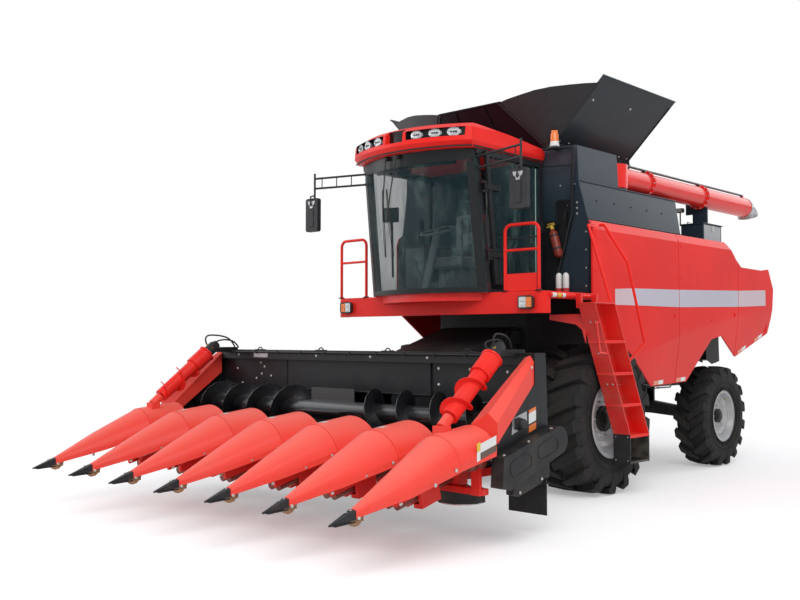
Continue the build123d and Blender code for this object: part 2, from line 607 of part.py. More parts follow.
fascia = rounded_slab(DECK_HALF_W - 30, DECK_FRONT_Y, DECK_REAR_Y, 90, DECK_Z - FASCIA_H, DECK_Z)
fascia -= rounded_slab(
    DECK_HALF_W - 30 - FASCIA_T, DECK_FRONT_Y + FASCIA_T, DECK_REAR_Y + 10, 40, DECK_Z - FASCIA_H - 10, DECK_Z - DECK_T)
fascia -= box(-DECK_HALF_W, DECK_HALF_W, DECK_FRONT_Y + 150, DECK_REAR_Y + 10, DECK_Z - FASCIA_H - 10, DECK_Z - 75)
fascia -= box(-CAB_HALF_W + 60, CAB_HALF_W - 60, CAB_FRONT_Y + 200, CAB_REAR_Y - 60, DECK_Z - 100, DECK_Z + 10)
fascia += both(rod((DECK_HALF_W - 25, DECK_FRONT_Y + 120, DECK_Z - 40), (DECK_HALF_W - 25, DECK_REAR_Y, DECK_Z - 40), 25))
keep("platform", fascia)

cab_floor_z = DECK_Z + FIT_GAP
bow = ThreePointArc((-CAB_HALF_W, CAB_FRONT_Y), (0, CAB_FRONT_Y - CAB_BULGE), (CAB_HALF_W, CAB_FRONT_Y))
floor_edge = Polyline(
    (CAB_HALF_W, CAB_FRONT_Y), (CAB_HALF_W, CAB_REAR_Y), (-CAB_HALF_W, CAB_REAR_Y), (-CAB_HALF_W, CAB_FRONT_Y))
cab = extrude(Plane.XY.offset(cab_floor_z) * make_face([bow, floor_edge]), amount=40, dir=(0, 0, 1))

# the floor's front stands on a deep bowed beam ahead of the fascia
beam_edge = CAB_HALF_W - 110
beam_bow = ThreePointArc((-beam_edge, DECK_FRONT_Y - 1), (0, DECK_FRONT_Y - CAB_BULGE), (beam_edge, DECK_FRONT_Y - 1))
beam = make_face([beam_bow, Line((beam_edge, DECK_FRONT_Y - 1), (-beam_edge, DECK_FRONT_Y - 1))])
cab += extrude(Plane.XY.offset(cab_floor_z - 90) * beam, amount=95, dir=(0, 0, 1))


def screen_y(z):
    """Where the windscreen's inner face crosses the cab's side, at one height."""
    rise = (z - cab_floor_z) / (CAB_TOP_Z - cab_floor_z)
    return CAB_FRONT_Y + (CAB_TOP_FRONT_Y - CAB_FRONT_Y) * rise


pillar_low_z, pillar_high_z = cab_floor_z + 10, CAB_TOP_Z - 10
for sx in (1, -1):
    cab += strut(
        (sx * (CAB_HALF_W - 38), screen_y(pillar_low_z) + PILLAR / 2 + 0.6, pillar_low_z),
        (sx * (CAB_TOP_HALF_W - 38), screen_y(pillar_high_z) + PILLAR / 2 + 0.6, pillar_high_z), PILLAR, PILLAR,
    )
    cab += strut(
        (sx * (CAB_HALF_W - 38), CAB_REAR_Y - 35, cab_floor_z + 10),
        (sx * (CAB_TOP_HALF_W - 38), CAB_REAR_Y - 35, CAB_TOP_Z - 10), PILLAR, PILLAR,
    )
ring = plate_x(
    [(screen_y(CAB_TOP_Z - 60), CAB_TOP_Z - 60), (CAB_REAR_Y, CAB_TOP_Z - 60), (CAB_REAR_Y, CAB_TOP_Z),
     (screen_y(CAB_TOP_Z), CAB_TOP_Z)], -CAB_HALF_W, CAB_HALF_W)
ring -= box(-CAB_TOP_HALF_W + 70, CAB_TOP_HALF_W - 70, CAB_TOP_FRONT_Y + 75, CAB_REAR_Y - 70, CAB_TOP_Z - 80, CAB_TOP_Z + 10)
cab += ring
hinge_x = CAB_HALF_W + DOOR_GAP + DOOR_T / 2


def hinge_at(z):
    """A point of the door's leaning hinge line."""
    return (hinge_x, screen_y(z) + DOOR_HINGE_BACK, z)


for z in DOOR_HINGES:
    cab += rod(hinge_at(z - 60), hinge_at(z + 60), DOOR_PIN_R)
    for low in (z - 62, z + 36):
        y = screen_y(low)
        cab += rod(hinge_at(low), hinge_at(low + 26), DOOR_HINGE_R)
        cab += box(CAB_TOP_HALF_W - 40, hinge_x, y + 30, y + DOOR_HINGE_BACK, low, low + 26)
back = box(-CAB_HALF_W + 60, CAB_HALF_W - 60, CAB_REAR_Y - 30, CAB_REAR_Y, cab_floor_z + 20, cab_floor_z + 620)
cab += back
keep("cab_frame", cab)


def bowed(half, front_y, z, inset):
    """One level of the bowed windscreen: a thin curved strip."""
    outer_arc = ThreePointArc((-half, front_y), (0, front_y - CAB_BULGE), (half, front_y))
    inner_arc = ThreePointArc((half, front_y + inset), (0, front_y - CAB_BULGE + inset), (-half, front_y + inset))
    side_a = Line((half, front_y), (half, front_y + inset))
    side_b = Line((-half, front_y + inset), (-half, front_y))
    return Plane.XY.offset(z) * make_face([outer_arc, side_a, inner_arc, side_b])


windscreen = loft(
    [
        bowed(CAB_HALF_W, CAB_FRONT_Y - FIT_GAP - GLASS_T, cab_floor_z + 1, GLASS_T),
        bowed(CAB_TOP_HALF_W, CAB_TOP_FRONT_Y - FIT_GAP - GLASS_T, CAB_TOP_Z, GLASS_T),
    ],
    ruled=True,
)
side_glass = plate_x(
    [(CAB_FRONT_Y + 40, cab_floor_z + 10), (CAB_REAR_Y, cab_floor_z + 10), (CAB_REAR_Y, CAB_TOP_Z - 5),
     (CAB_TOP_FRONT_Y + 110, CAB_TOP_Z - 5)],
    -CAB_HALF_W - FIT_GAP - 6, -CAB_HALF_W - FIT_GAP,
)
rear_glass = box(
    -CAB_TOP_HALF_W + 73.3, CAB_TOP_HALF_W - 73.3, CAB_REAR_Y - 22, CAB_REAR_Y - 16,
    cab_floor_z + 620 + FIT_GAP, CAB_TOP_Z - 60 - FIT_GAP)
keep("cab_glass", windscreen, side_glass, rear_glass)

roof_levels = [
    # half width, front y, z
    (CAB_TOP_HALF_W + 20, CAB_TOP_FRONT_Y - 80, CAB_TOP_Z + FIT_GAP),
    (CAB_TOP_HALF_W + 50, CAB_TOP_FRONT_Y - 125, CAB_TOP_Z + 70),
    (CAB_TOP_HALF_W + 45, CAB_TOP_FRONT_Y - 110, ROOF_TOP_Z - 60),
    (CAB_TOP_HALF_W - 15, CAB_TOP_FRONT_Y - 20, ROOF_TOP_Z),
]


def roof_level(half, front, z, inset=0.0):
    """One level of the roof: a bowed front and a straight rear."""
    arc = ThreePointArc((-half, front + inset), (0, front - CAB_BULGE + inset), (half, front + inset))
    rest_of = Polyline((half, front + inset), (half, CAB_REAR_Y + 60), (-half, CAB_REAR_Y + 60), (-half, front + inset))
    return Plane.XY.offset(z) * make_face([arc, rest_of])


def lamp_band(depth, low, high):
    """What lies less than a depth behind the roof's bowed front, between two heights."""
    half, front = roof_levels[1][:2]
    room = box(-half - 100, half + 100, front - CAB_BULGE - 50, CAB_REAR_Y, low, high)
    core = extrude(roof_level(half, front, low - 5, depth), amount=high - low + 10, dir=(0, 0, 1))
    return room - core


roof = loft([roof_level(*level) for level in roof_levels], ruled=True)
# it falls away from the brow to the rear
roof -= plate_x(
    [(CAB_TOP_FRONT_Y + 60, ROOF_TOP_Z + 1), (CAB_REAR_Y + 70, ROOF_TOP_Z - 130), (CAB_REAR_Y + 70, ROOF_TOP_Z + 10)],
    -CAB_HALF_W - 100, CAB_HALF_W + 100)
for side in (1, -1):
    pod = box(min(side * 175, side * 850), max(side * 175, side * 850), -2200, -1600, POD_LOW_Z, POD_HIGH_Z)
    roof -= lamp_band(POD_DEPTH, POD_LOW_Z, POD_HIGH_Z) & pod
notch = box(-135, 135, -2200, -1600, POD_LOW_Z - 10, ROOF_TOP_Z + 20)
roof -= lamp_band(POD_DEPTH + 20, POD_LOW_Z - 10, ROOF_TOP_Z + 20) & notch
keep("cab_roof", roof)
lamp_room = lamp_band(POD_DEPTH - FIT_GAP, POD_LOW_Z, POD_HIGH_Z) - lamp_band(POD_DEPTH - 35, POD_LOW_Z - 5, POD_HIGH_Z + 5)
lamp_oval = Plane.XZ.offset(1500) * Pos(0, (POD_LOW_Z + POD_HIGH_Z) / 2) * Ellipse(62, 43)
roof_lamps = []
for lamp_x in ROOF_LAMPS:
    roof_lamps += (Pos(lamp_x, 0, 0) * extrude(lamp_oval, amount=800) & lamp_room).solids()

# the door hangs on the left front pillar and shuts against the rear one
door_in, door_out = hinge_x - DOOR_T / 2, hinge_x + DOOR_T / 2
door_low, door_high = cab_floor_z + 90, CAB_TOP_Z - 20


def door_plate(edge, x0, x1):
    """A plate as large as the door, less an edge all round."""
    low, high, rear = door_low + edge, door_high - edge, CAB_REAR_Y - 10 - edge
    front = DOOR_HINGE_BACK + 24 + edge
    return plate_x(
        [(screen_y(low) + front, low), (rear, low), (rear, high), (screen_y(high) + front, high)], x0, x1)


door = door_plate(0, door_in, door_out) - door_plate(60, door_in - 5, door_out + 5)
for z in DOOR_HINGES:
    y = screen_y(z) + DOOR_HINGE_BACK
    door += rod(hinge_at(z - 33), hinge_at(z + 33), DOOR_HINGE_R)
    door += box(hinge_x - 8, door_out + 12, y, y + 240, z - 32, z + 32)
    door -= rod(hinge_at(z - 70), hinge_at(z + 70), DOOR_PIN_R + PIN_FIT)
    door -= door_plate(60, door_in - 5, door_in + DOOR_T / 2 + 3)
door += box(door_out - 2, door_out + 35, CAB_REAR_Y - 66, CAB_REAR_Y - 26, 3060, 3200)
keep("cab_door", door)
keep("door_glass", door_plate(60 + FIT_GAP, hinge_x - 3, hinge_x + 3))

seat_y = -850.0
floor_top = cab_floor_z + 40 + FIT_GAP
cushion = box(-250, 250, seat_y - 270, seat_y + 240, floor_top + 290, floor_top + 430)
backrest = box(-230, 230, seat_y + 190, seat_y + 320, floor_top + 330, floor_top + 980)
seat = box(-180, 180, seat_y - 180, seat_y + 180, floor_top, floor_top + 300)
seat += fillet(cushion.edges(), 38) + fillet(backrest.edges(), 38)
seat += box(250, 330, seat_y - 200, seat_y + 180, floor_top + 560, floor_top + 620)
seat += box(240, 270, seat_y + 60, seat_y + 160, floor_top + 380, floor_top + 590)
keep("operator_seat", seat)
console = box(-620, -320, seat_y - 300, seat_y + 380, floor_top, floor_top + 560)
column = rod((0, -1494, floor_top + 18), (0, -1262, floor_top + 725), 45)
column += box(-80, 80, -1580, -1420, floor_top, floor_top + 30)
column += Pos(0, -1262, floor_top + 725) * Rot(18, 0, 0) * Torus(205, 16)
column += Pos(0, -1262, floor_top + 725) * Rot(18, 0, 0) * Box(410, 40, 16)
keep("cab_controls", console, column)

# two arms on the front pillar hold each mirror
mirror_arm = cyl_z(MIRROR_ARM_R, MIRROR_X, MIRROR_Y, 3500, CAB_TOP_Z - 20)
for z in (CAB_TOP_Z - 210, CAB_TOP_Z - 85):
    lean = (CAB_HALF_W - CAB_TOP_HALF_W) * (z - pillar_low_z) / (pillar_high_z - pillar_low_z)
    root_x = CAB_HALF_W - 38 + PILLAR / 2 + 0.6 - lean
    root_y = screen_y(z) + 32
    start, end = (root_x + 25, root_y, z), (MIRROR_X, MIRROR_Y, z)
    mirror_arm += rod(start, end, MIRROR_ARM_R) + Pos(*end) * Sphere(MIRROR_ARM_R) + Pos(*start) * Sphere(MIRROR_ARM_R)
    mirror_arm += box(root_x, root_x + 30, root_y - 20, root_y + 20, z - 18, z + 18)
mirror_head = box(MIRROR_X - 110, MIRROR_X + 110, MIRROR_Y - 55, MIRROR_Y + 5, 3160, 3580)
mirror_head = fillet(mirror_head.edges().filter_by(Axis.Y), 30)
keep("mirrors", both(mirror_arm + mirror_head))

beacon = cyl_z(50, BEACON_X, BEACON_Y, BEACON_Z + FIT_GAP, BEACON_Z + 60)
beacon += cyl_z(40, BEACON_X, BEACON_Y, BEACON_Z + 60, BEACON_Z + 190)
head_lamp = box(1300, 1490, DECK_FRONT_Y - 40, DECK_FRONT_Y - FIT_GAP, 2138, 2273)
lamps = both(fillet(head_lamp.edges().filter_by(Axis.Y), 40))
keep("lamps", beacon, lamps, roof_lamps)

rails = []
for sx in (1, -1):
    post_in = sx * 1084
    post_out = sx * 1533
    hoop = pipe(
        [(post_in, HOOP_Y, DECK_Z + FIT_GAP), (post_in, HOOP_Y, 3060), (post_out, HOOP_Y, 3060),
         (post_out, HOOP_Y, DECK_Z + FIT_GAP)], 18, 80)
    hoop += rod((post_in, HOOP_Y, 2780), (post_out, HOOP_Y, 2780), 15)
    rails += hoop.solids()
# two long rails lead from the side of the body down to the ladder's outer edge
foot = box(PANEL_X - PANEL_T, PANEL_X + 20, PANEL_FRONT_Y - FIT_GAP - 12, PANEL_FRONT_Y - FIT_GAP, 3080, 3130)
front_rail = bent_rail(
    [(PANEL_X + 5, PANEL_FRONT_Y - 8, 3105), (1600, -500, 3100), (LADDER_IN_X + 180, -455, LADDER_TOP_Z + 18)], 16)
rail_foot_z = 1560
ladder_rear_y = LADDER_TOP_Y + LADDER_STEP_W + 9 + LADDER_SHIFT * (3 - (rail_foot_z - LADDER_LOW_Z) / LADDER_RISE)
rear_rail = bent_rail(
    [(PANEL_X + FIT_GAP, -180, 3130), (1610, -180, 3130), (1780, 50, 2700), (1890, 235, 1760), (1870, ladder_rear_y, rail_foot_z)], 16)
rails += (foot + front_rail).solids() + rear_rail.solids()
keep("handrails", rails)

# ------------------------------------------------------------------------ ladder
low_y = LADDER_TOP_Y + 3 * LADDER_SHIFT
ladder_out_x = LADDER_IN_X + LADDER_DEPTH
slope = LADDER_SHIFT / LADDER_RISE


def stringer_y(z):
    """The front edge of the leaning ladder at one height."""
    return low_y - (z - LADDER_LOW_Z) * slope


def leaning(front, rear, x0, x1, low=LADDER_LOW_Z - 30, high=LADDER_TOP_Z):
    """A plate across X that leans with the ladder, between two shifts from its front edge."""
    return plate_x(
        [(stringer_y(low) + front, low), (stringer_y(low) + rear, low), (stringer_y(high) + rear, high),
         (stringer_y(high) + front, high)], x0, x1)


rungs = Part()
for n in range(4):
    z = LADDER_LOW_Z + n * LADDER_RISE
    rungs += box(LADDER_IN_X, ladder_out_x, stringer_y(z), stringer_y(z) + LADDER_STEP_W, z - 28, z)
ladder = rungs + leaning(0, SHEET, LADDER_IN_X, ladder_out_x)
ladder += leaning(LADDER_STEP_W - SHEET, LADDER_STEP_W, LADDER_IN_X, ladder_out_x)
# the closed back has an upright fold in its middle
ladder += leaning(0, LADDER_STEP_W, LADDER_IN_X, LADDER_IN_X + SHEET)
ladder += leaning(LADDER_STEP_W / 2 - 8, LADDER_STEP_W / 2 + 8, LADDER_IN_X, LADDER_IN_X + 30)
top_y = stringer_y(LADDER_TOP_Z)
ladder += box(LADDER_IN_X, ladder_out_x, top_y, top_y + LADDER_STEP_W, LADDER_TOP_Z - SHEET, LADDER_TOP_Z)
# a skirt under the platform runs in to the wheel arch, with a swept lower edge
skirt_y = stringer_y(SKIRT_LOW_Z) - 2
skirt = plate_y(
    [(SKIRT_IN_X, SKIRT_HIGH_Z), (LADDER_IN_X + 6, SKIRT_HIGH_Z), (LADDER_IN_X + 6, SKIRT_LOW_Z - 150),
     (LADDER_IN_X - 40, SKIRT_LOW_Z), (LADDER_IN_X - 120, SKIRT_LOW_Z + 60), (SKIRT_IN_X, SKIRT_HIGH_Z - 60)],
    skirt_y, skirt_y + SHEET)
ladder += skirt
for y in (-800, -480):
    ladder += box(DECK_HALF_W + FIT_GAP, LADDER_IN_X + SHEET, y, y + 40, 2150, DECK_Z - 15)
# rubber straps hold the lowest step
strap_low = LADDER_LOW_Z - 320
for y in (low_y, low_y + LADDER_STEP_W - 10):
    ladder += box(LADDER_IN_X, ladder_out_x, y, y + 10, strap_low, LADDER_LOW_Z)
ladder += box(LADDER_IN_X, ladder_out_x, low_y, low_y + LADDER_STEP_W, strap_low, strap_low + 25)
# a small hand loop stands on the front stringer
loop_y = stringer_y(1850) - 70
ladder += bent_rail([
    (ladder_out_x - 20, stringer_y(1994) + 4, 1994), (ladder_out_x - 20, loop_y - 40, 1984), (ladder_out_x - 20, loop_y + 30, 1660),
    (ladder_out_x - 20, stringer_y(1647) + 4, 1647)], 12)
keep("ladder", ladder)

# ----------------------------------------------------------------- feeder house
feeder_outline = [
    (FEEDER_PIVOT_Y + 110, FEEDER_PIVOT_Z - FEEDER_H + 120), (FEEDER_FRONT_Y, FEEDER_FRONT_Z),
    (FEEDER_FRONT_Y, FEEDER_FRONT_Z + FEEDER_H), (FEEDER_PIVOT_Y + 70, FEEDER_PIVOT_Z + 120),
]
feeder = plate_x(feeder_outline, -FEEDER_HALF_W, FEEDER_HALF_W)
inner_outline = [
    (FEEDER_PIVOT_Y + 130, FEEDER_PIVOT_Z - FEEDER_H + 150), (FEEDER_FRONT_Y - 10, FEEDER_FRONT_Z + 20),
    (FEEDER_FRONT_Y - 10, FEEDER_FRONT_Z + FEEDER_H - 20), (FEEDER_PIVOT_Y + 90, FEEDER_PIVOT_Z + 90),
]
feeder -= plate_x(inner_outline, -FEEDER_HALF_W + SHEET, FEEDER_HALF_W - SHEET)
feeder -= cyl_x(TRUNNION_R + PIN_FIT, -FEEDER_HALF_W - 5, FEEDER_HALF_W + 5, FEEDER_PIVOT_Y, FEEDER_PIVOT_Z)
for x in (LIFT_X, -LIFT_X):
    for near in (-LIFT_EYE_T / 2 - 3 - LUG_T, LIFT_EYE_T / 2 + 3):
        feeder += plate_x(
            [(LIFT_EYE_Y - 90, 1012), (LIFT_EYE_Y + 90, 1069), (LIFT_EYE_Y + 40, LIFT_EYE_Z - 40),
             (LIFT_EYE_Y - 40, LIFT_EYE_Z - 40)],
            x + near, x + near + LUG_T)
    feeder += cyl_x(PIN_R, x - LIFT_EYE_T / 2 - 10, x + LIFT_EYE_T / 2 + 10, LIFT_EYE_Y, LIFT_EYE_Z)
keep("feeder_house", feeder)

# ------------------------------------------------------------------------ header
frame_front = HEADER_BACK_Y
fender_rear_y = frame_front - 60


def fender_under(y):
    """Height of the end fender's underside at one place along the header."""
    return FENDER_LOW_Z + (FENDER_HIGH_Z - FENDER_LOW_Z) * (y - FENDER_FRONT_Y) / (fender_rear_y - FENDER_FRONT_Y)


head = box(-END_SHEET_X, END_SHEET_X, frame_front, frame_front + SHEET, HEADER_FLOOR_Z, HEADER_TOP_Z)
head += box(-END_SHEET_X, END_SHEET_X, fender_rear_y + FIT_GAP, frame_front + 110, HEADER_TOP_Z - 110, HEADER_TOP_Z)
head += box(-END_SHEET_X, END_SHEET_X, frame_front, frame_front + 160, HEADER_FLOOR_Z - 160, HEADER_FLOOR_Z)
floor_plate = plate_x(
    [(frame_front, HEADER_FLOOR_Z), (frame_front - 250, HEADER_FLOOR_Z), (frame_front - 640, HEADER_FLOOR_Z + 90),
     (frame_front - 640, HEADER_FLOOR_Z + 90 - SHEET), (frame_front - 250, HEADER_FLOOR_Z - SHEET),
     (frame_front, HEADER_FLOOR_Z - SHEET)],
    -END_SHEET_X, END_SHEET_X)
head += floor_plate
head -= box(-FEEDER_HALF_W + 20, FEEDER_HALF_W - 20, frame_front - 10, frame_front + SHEET + 5,
            FEEDER_FRONT_Z + 20, FEEDER_FRONT_Z + FEEDER_H - 20)
end_sheet = plate_x(
    [(frame_front + 160, HEADER_FLOOR_Z - 160), (-3280, 760), (-3350, 905),
     (-3350, fender_under(-3350) - 0.5), (fender_rear_y, fender_under(fender_rear_y) - 0.5),
     (fender_rear_y + FIT_GAP, HEADER_TOP_Z - 20), (frame_front + 110, HEADER_TOP_Z - 20)],
    END_SHEET_X - SHEET, END_SHEET_X)
end_sheet -= cyl_x(CROSS_SHAFT_R + PIN_FIT, END_SHEET_X - 30, END_SHEET_X + 10, CROSS_AUGER_Y, CROSS_AUGER_Z)
head += both(end_sheet)
# a deflector sheet stands on the back sheet over the middle, and a rubber skirt hangs at each end
head += box(-1100, 1100, frame_front - 10, frame_front + 2, 1250, HEADER_TOP_Z - 100)
head += both(box(1950, END_SHEET_X - 20, frame_front + 140, frame_front + 150, 190, HEADER_FLOOR_Z - 150))
# a frame around the throat carries the header on the feeder house
throat = box(-620, 620, frame_front, FEEDER_FRONT_Y - FIT_GAP, HEADER_FLOOR_Z - 20, FEEDER_FRONT_Z + FEEDER_H + 60)
throat -= box(-FEEDER_HALF_W + 20, FEEDER_HALF_W - 20, frame_front - 10, FEEDER_FRONT_Y + 10,
              FEEDER_FRONT_Z + 20, FEEDER_FRONT_Z + FEEDER_H - 20)
head += throat

# the cross auger carries left and right hand flights that meet in the middle
auger_half = END_SHEET_X - SHEET - 20
cross = cyl_x(CROSS_AUGER_TUBE_R, -auger_half, auger_half, CROSS_AUGER_Y, CROSS_AUGER_Z)
cross += cyl_x(CROSS_SHAFT_R, -END_SHEET_X + 2, END_SHEET_X - 2, CROSS_AUGER_Y, CROSS_AUGER_Z)
screw_start = (FEEDER_HALF_W - 60, CROSS_AUGER_Y, CROSS_AUGER_Z)
screw_turns = (END_SHEET_X - 190 - screw_start[0]) / CROSS_AUGER_PITCH
screw = flight(screw_start, (1, 0, 0), CROSS_AUGER_TUBE_R - 8, CROSS_AUGER_R, CROSS_AUGER_PITCH, screw_turns, 1)
cross = cross.fuse(screw, mirrored(screw))
# flat paddles in the middle push the crop into the feeder house
for turn in (0, 90, 180, 270):
    paddle = box(-330, 330, -6, 6, CROSS_AUGER_TUBE_R - 8, CROSS_AUGER_R - 20)
    cross = cross.fuse(Pos(0, CROSS_AUGER_Y, CROSS_AUGER_Z) * Rot(turn, 0, 0) * paddle)
keep("cross_auger", cross)

HOOD_POST_Y = -3428.0
snout_len = SNOUT_REAR_Y - TIP_Y
divider_sections = [
    # y, half width, edge z, top z, skirt
    (TIP_Y + TIP_LEN, 42, 500, 548, 20),
    (TIP_Y + snout_len * 0.59, 178, 632, 782, 40),
    (SNOUT_REAR_Y, 308, 792, 1012, 60),
]
hood_sections = [
    (SNOUT_REAR_Y + FIT_GAP, 314, 797, 1018, 60),
    (HOOD_POST_Y + 8, 330, 905, 1070, 80),
]


def divider_level(y, half, edge, top, skirt, outer=math.inf, inset=0.0):
    """One level of a divider: an arched top over two short skirts; the outer half may be narrower."""
    low_x, high_x = -half + inset, min(half, outer) - inset
    base_z = edge - skirt - inset
    arch = ThreePointArc((low_x, edge), ((low_x + high_x) / 2, top - inset), (high_x, edge))
    base = Polyline((high_x, edge), (high_x, base_z), (low_x, base_z), (low_x, edge))
    return Plane.XZ.offset(-y) * make_face([arch, base])


def arched_shell(sections, wall, outer=math.inf):
    """A sheet shell through arched levels, open underneath."""
    skin = loft([divider_level(*row, outer=outer) for row in sections], ruled=True)
    rows = [(sections[0][0] - 5,) + sections[0][1:]] + list(sections[1:-1]) + [(sections[-1][0] + 5,) + sections[-1][1:]]
    return skin - loft([divider_level(*row, outer=outer, inset=wall) for row in rows], ruled=True)


snout = arched_shell(divider_sections, SHEET)
end_snout = arched_shell(divider_sections, SHEET, END_DIVIDER_OUTER)
cover = arched_shell(hood_sections, SHEET)
end_cover = arched_shell(hood_sections, SHEET, END_DIVIDER_OUTER)
cover += extrude(divider_level(HOOD_POST_Y - SHEET, 320, 900, 1060, 80), amount=-SHEET)
end_cover += extrude(divider_level(HOOD_POST_Y - SHEET, 320, 900, 1060, 80, END_DIVIDER_OUTER - 10), amount=-SHEET)
tip_body = loft(
    [Plane.XZ.offset(-TIP_Y) * Pos(0, TIP_Z + 20) * Rectangle(12, 12),
     Plane.XZ.offset(-(TIP_Y + TIP_LEN - FIT_GAP)) * Pos(0, 505) * Rectangle(76, 70)],
    ruled=True,
)
# a bent wear shoe trails under each tip
tip = tip_body + strut((0, TIP_Y + 40, TIP_Z + 15), (0, TIP_Y + TIP_LEN + 90, TIP_Z + 26), 56, 12)
tips, snouts, hoods = [], [], []
for k in range(-ROWS // 2, ROWS // 2 + 1):
    at = Pos(k * ROW_PITCH, 0, 0)
    tips += (at * tip).solids()
    snouts += (at * (snout if abs(k) < ROWS // 2 else end_snout if k > 0 else mirrored(end_snout))).solids()
    if abs(k) < ROWS // 2:
        hoods += (at * cover).solids()
keep("divider_tips", tips)
keep("divider_snouts", snouts)
keep("row_hoods", hoods)

fender = loft(
    [
        Plane.XZ.offset(-FENDER_FRONT_Y)
        * Polygon((2230, FENDER_LOW_Z), (2520, FENDER_LOW_Z), (2520, 1100), (2420, 1180), (2230, 1075), align=None),
        Plane.XZ.offset(-fender_rear_y)
        * Polygon((2290, FENDER_HIGH_Z), (2390, FENDER_HIGH_Z), (2390, 1600), (2350, 1660), (2290, 1640), align=None),
    ],
    ruled=True,
)
end_auger_low = Vector(2180, -3640, 1150)
end_auger_top = Vector(2160, -3030, 1630)
end_auger_way = (end_auger_top - end_auger_low).normalized()
end_auger = rod(end_auger_low, end_auger_top, END_TUBE_R)
end_auger += rod(end_auger_top - end_auger_way * 230, end_auger_top - end_auger_way * 10, END_SLEEVE_R)
screw = flight(end_auger_low + end_auger_way * 40, end_auger_way, END_TUBE_R - 6, END_AUGER_R, 260.0, 1.9, 1)
end_auger = end_auger.fuse(screw)
end_auger -= rod(end_auger_low - end_auger_way * 5, end_auger_low + end_auger_way * 60, END_SHAFT_R + PIN_FIT)
end_auger -= rod(end_auger_top - end_auger_way * 60, end_auger_top + end_auger_way * 5, END_SHAFT_R + PIN_FIT)
keep("end_auger_left", end_auger)
keep("end_auger_right", mirrored(end_auger))
low_bearing = rod(end_auger_low + end_auger_way * 50, end_auger_low - end_auger_way * 120, END_SHAFT_R)
low_bearing += rod(end_auger_low - end_auger_way * 10, end_auger_low - end_auger_way * 140, 50)
low_bearing += box(2120, 2240, -3790, -3690, 1010, 1080)
end_cover = Pos(ROWS / 2 * ROW_PITCH, 0, 0) * end_cover + low_bearing
keep("end_divider_left", end_cover, fender)
keep("end_divider_right", mirrored(end_cover), mirrored(fender))
# its hydraulic motor hangs from a bracket on the header's top beam
motor = rod(end_auger_top - end_auger_way * 50, end_auger_top + end_auger_way * 60, END_SHAFT_R)
motor += rod(end_auger_top + end_auger_way * 10, end_auger_top + end_auger_way * 150, 58)
motor += box(2100, 2220, -2960, -2600, HEADER_TOP_Z - 30, HEADER_TOP_Z + 30)
head += both(motor)
keep("header_frame", head)

row_frames, chains, rolls, choppers = [], [], [], []
for n in range(ROWS):
    x = (n - (ROWS - 1) / 2) * ROW_PITCH
    place = Pos(x, -3290, HEADER_FLOOR_Z + 30) * Rot(DECK_SLOPE, 0, 0)
    unit = box(-150, 150, -120, 0, -200, -14)
    unit += both(box(90, 130, -900, -60, -80, -14) + box(18, 120, -860, 0, -14, 0))
    # a nose under each roll carries its front bearing
    unit += both(box(100, 130, -600, -350, -215, -70) + box(34, 130, -600, -350, -215, -176))
    unit = place * unit
    unit += box(x - 50, x + 50, -3300, frame_front - FIT_GAP, 545, 620)
    row_frames += unit.solids()
    for sx in (1, -1):
        chain = box(64, 88, -820, -20, FIT_GAP, 24) + box(104, 118, -812, -20, FIT_GAP, 24)
        chain += cyl_z(27, 91, -812, FIT_GAP, 24)
        for lug in range(7):
            chain += box(24, 70, -780 + lug * 112, -758 + lug * 112, 5, 22)
        roll = rod((52, -121, -120), (52, -820, -110), 40)
        chains += (place * (chain if sx > 0 else mirrored(chain))).solids()
        rolls += (place * (roll if sx > 0 else mirrored(roll))).solids()
    chopper = cyl_z(215, x, -3150, 345, 460) + cyl_z(45, x, -3150, 455, 545 - FIT_GAP)
    choppers += chopper.solids()
# a bar under the row units carries the posts of the hoods
bar = box(-2340, 2340, -3400, -3310, 470, 525)
for k in range(-ROWS // 2, ROWS // 2 + 1):
    x = k * ROW_PITCH
    bar += box(x - 45, x + 45, HOOD_POST_Y + FIT_GAP, -3390, 470, 900)
keep("row_frames", Part() + row_frames + bar)
keep("gathering_chains", chains)
keep("stalk_rolls", rolls)
keep("stalk_choppers", choppers)

case_out_x = END_SHEET_X + DRIVE_CASE_T
case = plate_x(
    [(-3360, 545), (-3340, 800), (-2530, 1012), (-2470, 765), (-3250, 520)], END_SHEET_X + FIT_GAP, case_out_x)
case += cyl_x(128, END_SHEET_X + FIT_GAP, case_out_x, -2500, 888)
case += plate_x(
    [(-3140, 460), (-3140, 560), (-2660, 720), (-2600, 610), (-2720, 520), (-3060, 440)],
    END_SHEET_X + FIT_GAP, END_SHEET_X + DRIVE_CASE_T * 0.6)
# two long rounded ribs stand on its outer face
case_turn = math.degrees(math.atan2(225, 830))
for along, length in ((-210, 330), (215, 330)):
    rib = SlotOverall(length, 150) - SlotOverall(length - 20, 130)
    case += extrude(Plane.YZ.offset(case_out_x - 1) * Pos(-2890, 778) * Rot(0, 0, case_turn) * Pos(along, 0) * rib, amount=6)
keep("drive_cases", both(case))
# ----------------------------------------------------------------- lift cylinders
lift_run = math.hypot(LIFT_EYE_Y - LIFT_BASE_Y, LIFT_EYE_Z - LIFT_BASE_Z)
lift_rise = math.degrees(math.atan2(LIFT_EYE_Z - LIFT_BASE_Z, LIFT_BASE_Y - LIFT_EYE_Y))
